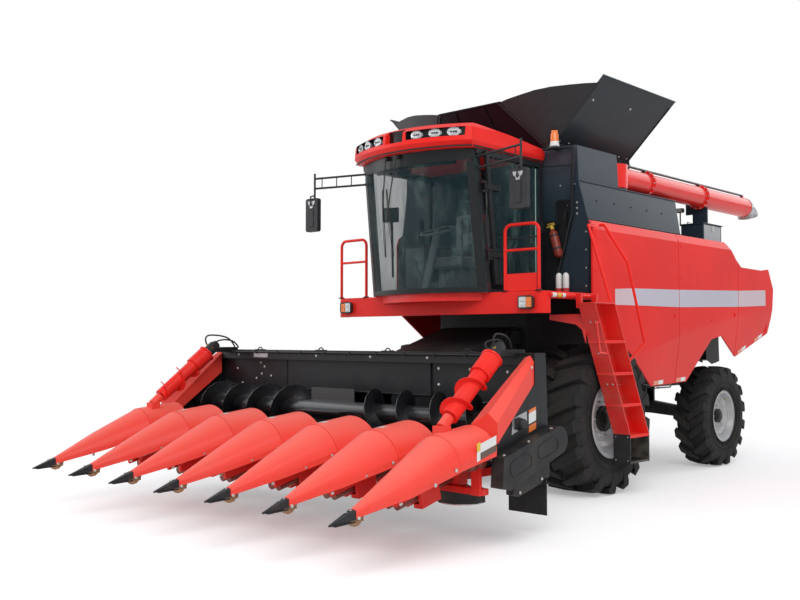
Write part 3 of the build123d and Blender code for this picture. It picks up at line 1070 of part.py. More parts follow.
# drawn along -Y from the base pin, then tilted up to the rod's eye
barrel = rod((0, -85, 0), (0, -LIFT_BARREL_LEN, 0), LIFT_BARREL_R)
barrel += box(-LIFT_EYE_T / 2, LIFT_EYE_T / 2, -95, -25, -35, 35)
barrel += cyl_x(45, -LIFT_EYE_T / 2, LIFT_EYE_T / 2, 0, 0)
barrel -= cyl_x(PIN_R + PIN_FIT, -LIFT_EYE_T, LIFT_EYE_T, 0, 0)
barrel -= rod((0, -120, 0), (0, -LIFT_BARREL_LEN - 10, 0), LIFT_ROD_R + PIN_FIT)
ram = rod((0, -500, 0), (0, -lift_run + 35, 0), LIFT_ROD_R)
ram += cyl_x(48, -LIFT_EYE_T / 2, LIFT_EYE_T / 2, -lift_run, 0)
ram -= cyl_x(PIN_R + LIFT_EYE_SLACK, -LIFT_EYE_T, LIFT_EYE_T, -lift_run, 0)
barrels, rams = [], []
for x in (LIFT_X, -LIFT_X):
    place = Pos(x, LIFT_BASE_Y, LIFT_BASE_Z) * Rot(-lift_rise, 0, 0)
    barrels += (place * barrel).solids()
    rams += (place * ram).solids()
keep("lift_barrels", barrels)
keep("lift_rams", rams)

# ------------------------------------------------------------------------ export
os.makedirs("parts", exist_ok=True)
for name, shape in NODES.items():
    export_step(Pos(0, FRAME_SHIFT_Y, 0) * shape, "parts/" + name + ".step")
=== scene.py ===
"""Finish, fittings and studio for a combine harvester with a maize header."""

import json
import math

import bmesh
import bpy
from mathutils import Matrix, Vector


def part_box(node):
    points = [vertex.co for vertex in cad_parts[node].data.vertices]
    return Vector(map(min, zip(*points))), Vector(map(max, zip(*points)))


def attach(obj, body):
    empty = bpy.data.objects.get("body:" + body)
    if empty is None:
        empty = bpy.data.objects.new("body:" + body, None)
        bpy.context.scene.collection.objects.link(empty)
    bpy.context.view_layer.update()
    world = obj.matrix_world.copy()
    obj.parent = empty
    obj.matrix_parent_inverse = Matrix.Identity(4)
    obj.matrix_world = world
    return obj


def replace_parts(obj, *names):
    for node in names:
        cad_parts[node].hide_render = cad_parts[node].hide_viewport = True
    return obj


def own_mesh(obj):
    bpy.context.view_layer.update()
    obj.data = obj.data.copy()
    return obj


bl_info = {
    "name": "Harvester Finish",
    "version": (1, 0, 0),
    "blender": (4, 5, 0),
    "location": "3D View > Sidebar > Harvester",
    "description": "Paints and dresses a combine harvester and sets up its studio",
    "category": "Object",
}

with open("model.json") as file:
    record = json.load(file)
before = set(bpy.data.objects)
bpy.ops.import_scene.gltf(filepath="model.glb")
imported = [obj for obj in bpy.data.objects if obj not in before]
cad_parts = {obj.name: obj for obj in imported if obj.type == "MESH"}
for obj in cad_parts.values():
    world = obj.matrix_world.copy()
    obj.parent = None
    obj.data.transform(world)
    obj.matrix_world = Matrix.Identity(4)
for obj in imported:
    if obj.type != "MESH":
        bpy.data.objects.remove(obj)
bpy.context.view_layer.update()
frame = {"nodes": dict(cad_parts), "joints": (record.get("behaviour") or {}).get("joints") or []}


# ------------------------------------------------------------------ shader maths
class Value:
    """A shader socket that writes Math nodes as it is added, multiplied or compared."""

    def __init__(self, finish, socket):
        self.finish = finish
        self.socket = socket

    def _math(self, operation, *values):
        node = self.finish.node("ShaderNodeMath", {"operation": operation}, *values)
        return Value(self.finish, node.outputs[0])

    def __add__(self, other):
        return self._math("ADD", self, other)

    __radd__ = __add__

    def __mul__(self, other):
        return self._math("MULTIPLY", self, other)

    def __sub__(self, other):
        return self._math("SUBTRACT", self, other)

    def __rsub__(self, other):
        return self._math("SUBTRACT", other, self)

    def __pow__(self, other):
        return self._math("POWER", self, other)

    def __abs__(self):
        return self._math("ABSOLUTE", self)

    def above(self, edge, blur):
        """0 below edge and 1 above it, with a soft step between."""
        node = self.finish.node(
            "ShaderNodeMapRange", {"interpolation_type": "SMOOTHSTEP"},
            Value=self, **{"From Min": edge - blur, "From Max": edge + blur, "To Min": 0.0, "To Max": 1.0})
        return Value(self.finish, node.outputs[0])

    def below(self, edge, blur):
        """1 below edge and 0 above it."""
        return 1.0 - self.above(edge, blur)

    def wave(self):
        """The sine of this value."""
        return self._math("SINE", self)

    def greatest(self, other):
        """The larger of two values."""
        return self._math("MAXIMUM", self, other)


def socket_color(color):
    """A colour as a socket takes it: a link stays a link, a tuple gets its alpha."""
    return color if isinstance(color, bpy.types.NodeSocket) else (*color[:3], 1.0)


class Finish:
    """One surface finish: a Principled shader and the nodes that vary it."""

    def __init__(self, name, color, **sockets):
        self.material = bpy.data.materials.new(name)
        self.material.use_nodes = True
        self.tree = self.material.node_tree
        self.shader = self.tree.nodes["Principled BSDF"]
        self.shader.inputs["Base Color"].default_value = socket_color(color)
        for socket, value in sockets.items():
            self.shader.inputs[socket.replace("_", " ")].default_value = value
        self.place = self.node("ShaderNodeTexCoord").outputs["Object"]
        split = self.node("ShaderNodeSeparateXYZ", {}, self.place).outputs
        self.x, self.y, self.z = (Value(self, out) for out in split)

    def node(self, kind, settings=None, *values, **named):
        """Adds a node, sets what it is, and gives its sockets values or links."""
        node = self.tree.nodes.new(kind)
        for key, setting in (settings or {}).items():
            setattr(node, key, setting)
        for socket, value in [*enumerate(values), *named.items()]:
            self.set(node.inputs[socket], value)
        return node

    def set(self, socket, value):
        """Links a socket to a value, or sets its number or colour."""
        if isinstance(value, Value):
            value = value.socket
        if isinstance(value, bpy.types.NodeSocket):
            self.tree.links.new(value, socket)
        else:
            socket.default_value = value

    def noise(self, scale, detail=3.0, rough=0.55, stretch=None):
        """Fractal noise over the piece, from 0 to 1."""
        place = self.place
        if stretch:
            place = self.node("ShaderNodeVectorMath", {"operation": "MULTIPLY"}, place, stretch).outputs[0]
        node = self.node("ShaderNodeTexNoise", {"noise_dimensions": "3D"}, Vector=place, Scale=scale,
                         Detail=detail, Roughness=rough)
        return Value(self, node.outputs[0])

    def cells(self, scale):
        """Distance to the nearest of scattered points, for grit."""
        node = self.node("ShaderNodeTexVoronoi", {"feature": "F1"}, Vector=self.place, Scale=scale)
        return Value(self, node.outputs[0])

    def facing(self):
        """The surface normal's upward share."""
        normal = self.node("ShaderNodeNewGeometry").outputs["Normal"]
        return Value(self, self.node("ShaderNodeSeparateXYZ", {}, normal).outputs[2])

    def dust(self, top_z, amount):
        """Dust that thins out upwards and lies on what faces up."""
        patchy = self.noise(3.0, 6.0, 0.65)
        height = self.z.below(top_z * 0.5, top_z * 0.55)
        lying = self.facing().above(0.75, 0.2) * 0.35
        return (height * 0.8 + lying) * patchy.above(0.52, 0.16) * amount

    def peel(self):
        """The orange peel of sprayed sheet metal."""
        return self.noise(240.0, 2.0) + self.noise(2.2, 2.0) * 6.0

    def ribs(self):
        """The fine ribs moulded into a lens."""
        return (self.x * 420.0).wave() + (self.z * 420.0).wave()

    def blend(self, share, under, over):
        """One colour laid over another by a share from 0 to 1."""
        node = self.node("ShaderNodeMix", {"data_type": "RGBA", "blend_type": "MIX"})
        self.set(node.inputs["Factor"], share)
        self.set(node.inputs[6], socket_color(under))
        self.set(node.inputs[7], socket_color(over))
        return node.outputs[2]

    def end(self, share, under, over, rough, height=None, depth=0.0, round_edge=0.0):
        """Lays the last colour, sets roughness and relief in metres, and hands the material over."""
        self.set(self.shader.inputs["Base Color"], self.blend(share, under, over))
        self.set(self.shader.inputs["Roughness"], rough)
        if height:
            bump = self.node("ShaderNodeBump", {}, Height=height, Distance=depth, Strength=1.0)
            if round_edge:
                bevel = self.node("ShaderNodeBevel", {"samples": 4}, Radius=round_edge)
                self.set(bump.inputs["Normal"], bevel.outputs[0])
            self.set(self.shader.inputs["Normal"], bump.outputs[0])
        return self.material


DUST = (0.36, 0.29, 0.2)


def tone(color, factor, lift=0.0):
    """A darker or paler version of a colour."""
    return tuple(min(1.0, c * factor + lift) for c in color)


def enamel(name, color, depth=0.12, dust=0.22, gloss=0.3, coat=0.0):
    """Sprayed gloss enamel on sheet metal, with dust and a faint orange peel."""
    finish = Finish(name, color, Coat_Weight=coat, Coat_Roughness=0.12, Specular_IOR_Level=0.16)
    cloud = finish.noise(0.9)
    base = finish.blend(cloud.above(0.5, 0.25), tone(color, 1 - depth), tone(color, 1 + depth * 0.4))
    grime = finish.dust(2.4, dust)
    return finish.end(grime, base, DUST, gloss + cloud * 0.08 + grime * 0.5, finish.peel(), 0.00025, 0.006)


def worn_black(name, color, gloss=0.42, dust=0.16, shine=0.28):
    """Black chassis paint with dust low down and on what faces up, and paler patches."""
    finish = Finish(name, color, Specular_IOR_Level=shine)
    grime = finish.dust(2.2, dust)
    cloud = finish.noise(5.0, 5.0, 0.7)
    base = finish.blend(cloud.above(0.55, 0.2), color, tone(color, 1.4, 0.002))
    return finish.end(grime, base, tone(DUST, 0.75), gloss + grime * 0.4 + cloud * 0.12,
                      finish.noise(160.0) + cloud * 3.0, 0.0003, 0.005)


def tyre_rubber(name, color):
    """Moulded tread rubber with patchy dust and a fine grit."""
    finish = Finish(name, color, Specular_IOR_Level=0.25)
    grit = finish.noise(30.0, 6.0, 0.7)
    patch = finish.noise(2.5, 5.0, 0.65)
    dusty = patch.above(0.5, 0.2) * 0.16 + grit.above(0.6, 0.12) * 0.12
    return finish.end(dusty, color, (0.105, 0.088, 0.068), 0.72 + grit * 0.15,
                      grit + finish.cells(55.0) * 0.5, 0.0008, 0.008)


def bare_steel(name, color, gloss=0.34, rust=0.25):
    """Worked steel with brushed streaks and a little rust."""
    finish = Finish(name, color, Metallic=0.85)
    streak = finish.noise(60.0, 3.0, 0.6, (1.0, 0.12, 1.0))
    spots = finish.noise(6.0, 6.0, 0.7).above(0.62, 0.08) * rust
    return finish.end(spots, color, (0.16, 0.07, 0.035), gloss + streak * 0.2 + spots * 0.4, streak, 0.0003,
                      0.003)


def silver_paint(name, color):
    """Silver wheel paint with patchy dust."""
    finish = Finish(name, color, Metallic=0.35, Coat_Weight=0.2)
    grime = finish.noise(4.0, 6.0, 0.65).above(0.5, 0.18)
    return finish.end(grime * 0.45, color, (0.3, 0.27, 0.23), 0.36 + grime * 0.3, finish.noise(90.0),
                      0.0003, 0.005)


def tinted_glass(name, color, alpha):
    """Green-grey safety glass: painted pale upright reflections over a dark tint, and dust at its foot."""
    finish = Finish(name, color, IOR=1.5, Specular_IOR_Level=0.18)
    # painted reflection: pale mottled patches stand for trees mirrored in the glass
    reflected_trees = finish.noise(2.6, 6.0, 0.62, (1.6, 1.6, 0.45))
    reflected_leaves = finish.noise(16.0, 5.0, 0.7, (1.0, 1.0, 0.7))
    pale = reflected_trees.above(0.56, 0.1) * reflected_leaves.above(0.48, 0.12)
    foot = finish.z.below(2.5, 0.2)
    # the painted reflection also makes the glass more opaque and tints it pale green-grey
    finish.set(finish.shader.inputs["Alpha"], alpha + pale * 0.12 + foot * 0.08)
    tint = finish.blend(pale * 0.7, color, (0.13, 0.21, 0.19))
    return finish.end(foot * 0.25, tint, (0.1, 0.1, 0.09), 0.03 + reflected_leaves * 0.04 + foot * 0.1)


def moulded(name, color, gloss=0.5, grain=260.0):
    """Moulded plastic or rubber with a fine grain."""
    finish = Finish(name, color, Specular_IOR_Level=0.3)
    worn = finish.noise(6.0, 4.0)
    return finish.end(worn.above(0.55, 0.2) * 0.4, color, tone(color, 1.6, 0.01), gloss + worn * 0.12,
                      finish.cells(grain), 0.0003, 0.003)


def woven(name, color):
    """Seat cloth with soft folds, painted shade in their hollows, and a visible weave."""
    finish = Finish(name, color, Sheen_Weight=0.4)
    fold = finish.noise(9.0, 4.0, 0.6)
    # painted shade: the colour darkens where the folds sink
    return finish.end(fold.above(0.5, 0.25), tone(color, 0.6), color, 0.85,
                      fold + finish.noise(90.0, 2.0) * 0.3, 0.004)


def lens(name, color, glow=0.0):
    """A ribbed lamp lens over a bright reflector."""
    finish = Finish(name, color, Coat_Weight=1.0, Coat_Roughness=0.03)
    if glow:
        finish.shader.inputs["Emission Color"].default_value = socket_color(color)
        finish.shader.inputs["Emission Strength"].default_value = glow
    ribs = finish.ribs()
    return finish.end(ribs.above(0.2, 0.9), tone(color, 0.7), color, 0.12, ribs, 0.0008)


def gloss(name, color, rough=0.1, metal=0.0, coat=0.8):
    """Smooth glossy plastic, chrome or lacquer with faint wiping marks."""
    finish = Finish(name, color, Metallic=metal, Coat_Weight=coat, Coat_Roughness=0.06,
                    Specular_IOR_Level=0.3)
    wiped = finish.noise(14.0, 4.0, 0.6, (1.0, 0.4, 1.0))
    return finish.end(wiped.above(0.6, 0.2) * 0.3, color, tone(color, 1.25, 0.012), rough + wiped * 0.1,
                      wiped, 0.0002, 0.002)


def label(name, color):
    """A blank printed label: flat colour, a satin film and rubbed patches."""
    finish = Finish(name, color, Coat_Weight=0.3, Coat_Roughness=0.2)
    rub = finish.noise(35.0, 5.0, 0.7)
    return finish.end(rub.above(0.62, 0.08) * 0.25, color, tone(color, 0.7, 0.08), 0.38 + rub * 0.15, rub,
                      0.0001)


def reflector(name, color):
    """Reflective tape with small diagonal cells under its film."""
    finish = Finish(name, color, Coat_Weight=0.8, Coat_Roughness=0.08)
    net = ((finish.y + finish.z) * 900.0).wave() * ((finish.y - finish.z) * 900.0).wave()
    return finish.end(net.above(0.0, 0.5) * 0.5, color, tone(color, 1.3, 0.05), 0.22, net, 0.0002)


def stripe_film(name, middle, ends):
    """The body stripe: silver film that turns paler and warmer on the end panels."""
    finish = Finish(name, middle, Coat_Weight=0.4, Coat_Roughness=0.12)
    front, rear = PANEL_SEAMS
    warm = finish.y.below(front - 1.15 + AXLE_Y, 0.01).greatest(finish.y.above(rear + AXLE_Y, 0.01))
    cloud = finish.noise(1.3, 4.0, 0.6)
    base = finish.blend(warm, middle, ends)
    return finish.end(cloud.above(0.55, 0.2) * 0.2, base, tone(middle, 1.15), 0.26 + cloud * 0.1,
                      finish.noise(200.0, 2.0), 0.0002)


def tarpaulin(name, color):
    """Coated cloth: a fine plain weave under a worn satin coating."""
    finish = Finish(name, color, Sheen_Weight=0.15)
    warp = (finish.x * 900.0).wave() * (finish.z * 900.0).wave()
    crease = finish.noise(7.0, 5.0, 0.65)
    return finish.end(crease.above(0.52, 0.2) * 0.5, color, tone(color, 1.9, 0.006), 0.5 + crease * 0.2,
                      warp * 0.15 + crease * 8.0, 0.0006)


def lamp_housing(name, clear, amber, white, black):
    """The lamps by where they stand: black head lamp boxes, clear roof lamps, a white and amber beacon."""
    finish = Finish(name, clear, Coat_Weight=0.9, Coat_Roughness=0.04)
    beacon = finish.x.above(1.0, 0.02)
    foot = finish.z.below(4.14, 0.002)
    low = finish.z.below(3.0, 0.1)
    high_up = finish.blend(beacon * foot, finish.blend(beacon, clear, amber), white)
    ribs = finish.ribs()
    return finish.end(low, high_up, black, 0.1 + low * 0.3 + ribs * 0.02, ribs, 0.0004)


def top_lit_enamel(name, color, pale):
    """Enamel on curved hoods, paler where it faces up: a painted highlight from the light above."""
    finish = Finish(name, color, Coat_Weight=0.1, Coat_Roughness=0.12, Specular_IOR_Level=0.16)
    cloud = finish.noise(0.9)
    base = finish.blend(cloud.above(0.5, 0.25), tone(color, 0.93), color)
    # painted highlight: the colour turns pale on what faces up
    base = finish.blend(finish.facing().above(0.72, 0.25) * 0.75, base, pale)
    grime = finish.dust(2.4, 0.08)
    return finish.end(grime, base, DUST, 0.38 + cloud * 0.08 + grime * 0.4, finish.peel(), 0.00025, 0.006)


def graded_reflection(name, low, high, middle, reach):
    """Enamel with a painted reflection: darker towards its foot, where it mirrors the ground, and paler
    towards its top.
    """
    finish = Finish(name, low, Coat_Weight=0.1, Coat_Roughness=0.15, Specular_IOR_Level=0.25)
    cloud = finish.noise(1.2, 4.0)
    # painted reflection: the colour goes from the low tone to the high tone with height
    base = finish.blend(finish.z.above(middle, reach), low, high)
    return finish.end(cloud.above(0.55, 0.2) * 0.2, base, tone(high, 1.2, 0.004), 0.36 + cloud * 0.1,
                      finish.noise(220.0, 2.0) + cloud * 5.0, 0.00025, 0.006)


def auger_paint(name, color, pipe):
    """Red enamel on the auger's tube and dark paint on the thin pipe along its top."""
    finish = Finish(name, color, Coat_Weight=0.15, Coat_Roughness=0.14, Specular_IOR_Level=0.3)
    cloud = finish.noise(1.5, 4.0)
    along_top = finish.z.above(3.998, 0.001) * abs(finish.x - AUGER_X).below(0.019, 0.001)
    base = finish.blend(cloud.above(0.5, 0.25), tone(color, 0.9), tone(color, 1.04))
    return finish.end(along_top, base, pipe, 0.28 + cloud * 0.08, finish.noise(60.0, 2.0) + cloud * 4.0,
                      0.0002, 0.01)


def crumpled(name, color):
    """Creased polythene wrapping, with painted highlights on its folds' crests and painted shade in their
    hollows.
    """
    finish = Finish(name, color, Coat_Weight=0.5, Coat_Roughness=0.1)
    fold = finish.noise(11.0, 4.0, 0.6, (1.0, 1.6, 1.0))
    fine = finish.noise(46.0, 3.0, 0.6)
    # painted light: pale on the fold crests, dark in the hollows
    return finish.end(fold.above(0.52, 0.08), tone(color, 0.62), tone(color, 1.35), 0.24 + fine * 0.15,
                      fold * 9.0 + fine * 2.0, 0.003)


def two_tone(name, color, other, where):
    """Paint that changes at an edge: where(finish) gives the share of the other colour."""
    finish = Finish(name, color, Specular_IOR_Level=0.35)
    cloud = finish.noise(6.0, 5.0, 0.65)
    base = finish.blend(where(finish), color, other)
    worn = tuple((a + b) * 0.35 for a, b in zip(color, other))
    return finish.end(cloud.above(0.62, 0.12) * 0.25, base, worn, 0.34 + cloud * 0.15,
                      finish.noise(180.0) + cloud * 3.0, 0.0003, 0.005)


def red_sill(finish):
    """Where the cab frame is red: below the glass and in front of the posts' feet."""
    return finish.z.below(2.3275, 0.002) * finish.y.below(-1.4 + AXLE_Y, 0.002)


def behind_shoe(finish):
    """Where a divider tip is bare: behind its black shoe."""
    return finish.y.above(-4.88 + AXLE_Y, 0.002)


def ladder_paint(name, color, rubber):
    """The ladder: red sheet above, black rubber straps and their step below."""
    finish = Finish(name, color, Coat_Weight=0.3, Coat_Roughness=0.15)
    cloud = finish.noise(1.1, 4.0)
    low = finish.z.below(0.683, 0.002)
    grime = finish.dust(2.6, 0.5)
    scuffs = finish.noise(9.0, 6.0, 0.7, (1.0, 1.0, 0.5)).above(0.66, 0.06) * 0.3
    painted = finish.blend(cloud.above(0.5, 0.25), tone(color, 0.86), tone(color, 1.02))
    painted = finish.blend(scuffs, painted, (0.42, 0.1, 0.08))
    base = finish.blend(low, painted, rubber)
    return finish.end(grime, base, DUST, 0.3 + low * 0.35 + grime * 0.4 + cloud * 0.08,
                      finish.noise(230.0, 2.0) + cloud * 5.0, 0.00025, 0.006)


FINISHES = {}


def finishes():
    """Every finish on the machine, made once."""
    if not FINISHES:
        look = bpy.context.scene.harvester_look
        red, slate, black = tuple(look.red), tuple(look.slate), tuple(look.black)
        lamp_black, label_white = (0.016, 0.016, 0.017), (0.72, 0.72, 0.7)
        FINISHES.update(
            red=enamel("red_enamel", red, 0.1, 0.12),
            # the dividers are paler on top: a painted highlight
            divider_red=top_lit_enamel("divider_enamel", tuple(look.divider), (0.92, 0.15, 0.115)),
            cab_frame=two_tone("cab_frame_paint", tone(black, 1.1), red, red_sill),
            tips=two_tone("tip_paint", tone(black, 1.2), (0.3, 0.17, 0.085), behind_shoe),
            ladder=ladder_paint("ladder_enamel", red, (0.02, 0.019, 0.018)),
            slate=enamel("slate_enamel", slate, 0.15, 0.15, 0.34, 0.1),
            slate_dark=enamel("slate_dark_enamel", tone(slate, 0.6), 0.15, 0.25, 0.36, 0.2),
            flap=enamel("flap_enamel", tuple(look.flap), 0.2, 0.2, 0.45, 0.1),
            # a darker copy of the flap enamel for the front and rear flaps: painted shade
            flap_dark=enamel("flap_dark_enamel", (0.01, 0.008, 0.013), 0.1, 0.1),
            # pale teal on the side flaps' lips: a painted highlight along their top edge
            flap_edge=enamel("flap_edge_enamel", (0.02, 0.075, 0.095), 0.1, 0.1, 0.3, 0.2),
            white=enamel("white_enamel", (0.74, 0.74, 0.71), 0.06, 0.2, 0.3, 0.3),
            red_brown=enamel("red_brown_enamel", (0.2, 0.028, 0.016), 0.15, 0.3, 0.34, 0.3),
            # the tank is darker low and paler high: a painted reflection
            tank=graded_reflection("tank_enamel", (0.012, 0.026, 0.036), (0.046, 0.056, 0.072), 3.62, 0.4),
            auger_red=auger_paint("auger_enamel", red, (0.045, 0.04, 0.042)),
            bronze=worn_black("skid_bronze", (0.27, 0.145, 0.075), 0.4, 0.1),
            black=worn_black("chassis_paint", black),
            chassis_black=worn_black("fitting_black", tone(black, 1.1), 0.36, 0.12),
            header_black=worn_black("header_black", black, 0.34, 0.1),
            auger_black=worn_black("auger_black", tone(black, 0.9), 0.2, 0.03, 0.6),
            rubber=tyre_rubber("tread_rubber", lamp_black),
            soft_black=moulded("soft_rubber", (0.018, 0.018, 0.019), 0.6, 150.0),
            plastic=moulded("black_plastic", (0.022, 0.022, 0.024)),
            cab_grey=moulded("cab_plastic", (0.14, 0.16, 0.165), 0.45),
            dull_yellow=moulded("yellow_plastic", (0.5, 0.35, 0.05), 0.45),
            steel=bare_steel("worked_steel", (0.42, 0.41, 0.4)),
            zinc=bare_steel("zinc_bolts", (0.56, 0.55, 0.51), 0.3, 0.15),
            galvanised=bare_steel("galvanised_sheet", (0.44, 0.45, 0.46), 0.38, 0.1),
            brass=bare_steel("brass_unions", (0.62, 0.43, 0.16), 0.28, 0.05),
            rod=bare_steel("chromed_rod", (0.62, 0.62, 0.63), 0.12, 0.02),
            iron=bare_steel("cast_iron", (0.1, 0.1, 0.1), 0.55, 0.4),
            silver=silver_paint("wheel_silver", tuple(look.silver)),
            glass=tinted_glass("tinted_glass", tuple(look.glass), look.glass_depth),
            cloth=woven("seat_cloth", (0.17, 0.18, 0.19)),
            tarpaulin=tarpaulin("corner_cloth", (0.006, 0.005, 0.007)),
            spout=crumpled("spout_wrap", (0.46, 0.47, 0.49)),
            clear=lens("clear_lens", (0.8, 0.82, 0.8)),
            amber=lens("amber_lens", (0.9, 0.2, 0.015), 0.15),
            tail_red=lens("tail_lens", (0.55, 0.01, 0.008)),
            lamps=lamp_housing("lamp_housings", (0.72, 0.74, 0.74), (0.9, 0.17, 0.01), (0.75, 0.75, 0.72),
                               lamp_black),
            stripe=stripe_film("stripe_film", tuple(look.stripe), (0.66, 0.5, 0.54)),
            reflector_orange=reflector("reflector_orange", (0.72, 0.13, 0.02)),
            reflector_white=reflector("reflector_white", (0.7, 0.7, 0.68)),
            gloss_black=gloss("gloss_black", (0.006, 0.006, 0.007), 0.2, 0.0, 0.15),
            screen_black=gloss("screen_black", (0.006, 0.008, 0.009), 0.3, 0.0, 0.0),
            dark_glass=gloss("dark_glass", (0.035, 0.045, 0.055), 0.05, 0.3),
            chrome=gloss("chrome", (0.72, 0.73, 0.75), 0.08, 1.0, 0.3),
            mirror=gloss("mirror_glass", (0.58, 0.62, 0.64), 0.03, 0.9, 0.4),
            pane_edge=gloss("pane_edge", (0.36, 0.52, 0.46), 0.12),
            label_white=label("label_white", label_white),
            label_yellow=label("label_yellow", (0.74, 0.46, 0.03)),
            label_dark=label("label_dark", (0.09, 0.05, 0.035)),
            label_red=label("label_red", (0.5, 0.02, 0.02)),
            label_orange=label("label_orange", (0.72, 0.16, 0.02)),
        )
    return FINISHES


def tint(name, description, color):
    """A colour setting in the sidebar."""
    return bpy.props.FloatVectorProperty(name=name, description=description, subtype="COLOR", size=3,
                                         default=color)


class HARVESTER_PG_look(bpy.types.PropertyGroup):
    """Colours of the machine's finishes."""

    red: tint("Red", "Main enamel", (0.86, 0.024, 0.018))
    divider: tint("Divider red", "Enamel of the header's dividers", (0.88, 0.062, 0.044))
    slate: tint("Slate", "Grain tank enamel", (0.02, 0.031, 0.044))
    flap: tint("Flap", "Tank flap enamel", (0.03, 0.036, 0.042))
    black: tint("Black", "Chassis paint", (0.009, 0.01, 0.012))
    silver: tint("Silver", "Wheel paint", (0.52, 0.53, 0.55))
    stripe: tint("Stripe", "Film of the body stripe", (0.52, 0.49, 0.57))
    glass: tint("Glass", "Tint of the cab glass", (0.014, 0.04, 0.048))
    glass_depth: bpy.props.FloatProperty(name="Glass depth", description="How much the tint hides",
                                         subtype="FACTOR", min=0.0, max=1.0, default=0.27)


DRESS = (    # a finish, and the CAD pieces that wear it
    ("red", "side_panel_left side_panel_right rear_hood platform cab_roof handrails row_frames"),
    ("red", "end_auger_left end_auger_right"),
    ("divider_red", "divider_snouts row_hoods end_divider_left end_divider_right"),
    ("tank", "grain_tank"),
    ("slate", "auger_rest_box"),
    ("auger_red", "unloading_auger"),
    ("flap", "tank_flap_left tank_flap_right"),
    # the front and rear flaps wear the darker copy: painted shade
    ("flap_dark", "tank_flap_front tank_flap_rear"),
    ("black", "chassis_frame drive_axle rear_axle knuckle_left knuckle_right threshing_body engine_deck"),
    ("black", "feeder_house drive_cases stalk_choppers lift_barrels"),
    ("header_black", "header_frame cab_door"),
    ("auger_black", "cross_auger"),
    ("cab_frame", "cab_frame"),
    ("tips", "divider_tips"),
    ("iron", "engine_block"),
    ("rod", "lift_rams"),
    ("steel", "gathering_chains"),
    ("red_brown", "stalk_rolls"),
    ("silver", "drive_rim_left drive_rim_right rear_rim_left rear_rim_right"),
    ("rubber", "drive_tyre_left drive_tyre_right rear_tyre_left rear_tyre_right"),
    ("glass", "cab_glass door_glass"),
    ("cab_grey", "cab_controls"),
    ("plastic", "mirrors"),
    ("cloth", "operator_seat"),
    ("lamps", "lamps"),
    ("ladder", "ladder"),
    ("spout", "auger_spout"),
)


class HARVESTER_OT_finish_frame(bpy.types.Operator):
    """Give every CAD piece its finish"""

    bl_idname = "harvester.finish_frame"
    bl_label = "Finish the frame"

    def execute(self, context):
        for finish, pieces in DRESS:
            for name in pieces.split():
                data = frame["nodes"][name].data
                data.materials.clear()
                data.materials.append(finishes()[finish])
        bare = sorted(name for name, node in frame["nodes"].items() if not node.data.materials)
        if bare:
            raise RuntimeError("no finish on " + ", ".join(bare))
        return {"FINISHED"}


# ------------------------------------------------------------------- mesh making
AXLE_Y = next(j["pos_m"][1] for j in frame["joints"] if j["name"] == "drive_wheel_left_spin")
UP = Vector((0.0, 0.0, 1.0))
OUT = Vector((1.0, 0.0, 0.0))
AHEAD = Vector((0.0, -1.0, 0.0))
SHARP = 40.0             # folds over this many degrees are rounded by a bevel
SIDES = (("left", False), ("right", True))


def side_way(way):
    """A unit vector square to a way."""
    return way.cross(UP if abs(way.z) < 0.9 else OUT).normalized()


def steps(low, high, count):
    return [low + (high - low) * n / count for n in range(count + 1)]


def spread(at, points):
    """Each of some points moved by a place."""
    return [Vector(at) + Vector(p) for p in points]


def turns(count, first=0.0):
    """(cosine, sine) at even turns of a circle."""
    return [(math.cos(first + math.tau * n / count), math.sin(first + math.tau * n / count))
            for n in range(count)]


def level(points, at):
    """A value read from a bent line of (place, value) points."""
    for (a, low), (b, high) in zip(points, points[1:]):
        if at <= b:
            break
    return low + (high - low) * (at - a) / (b - a)


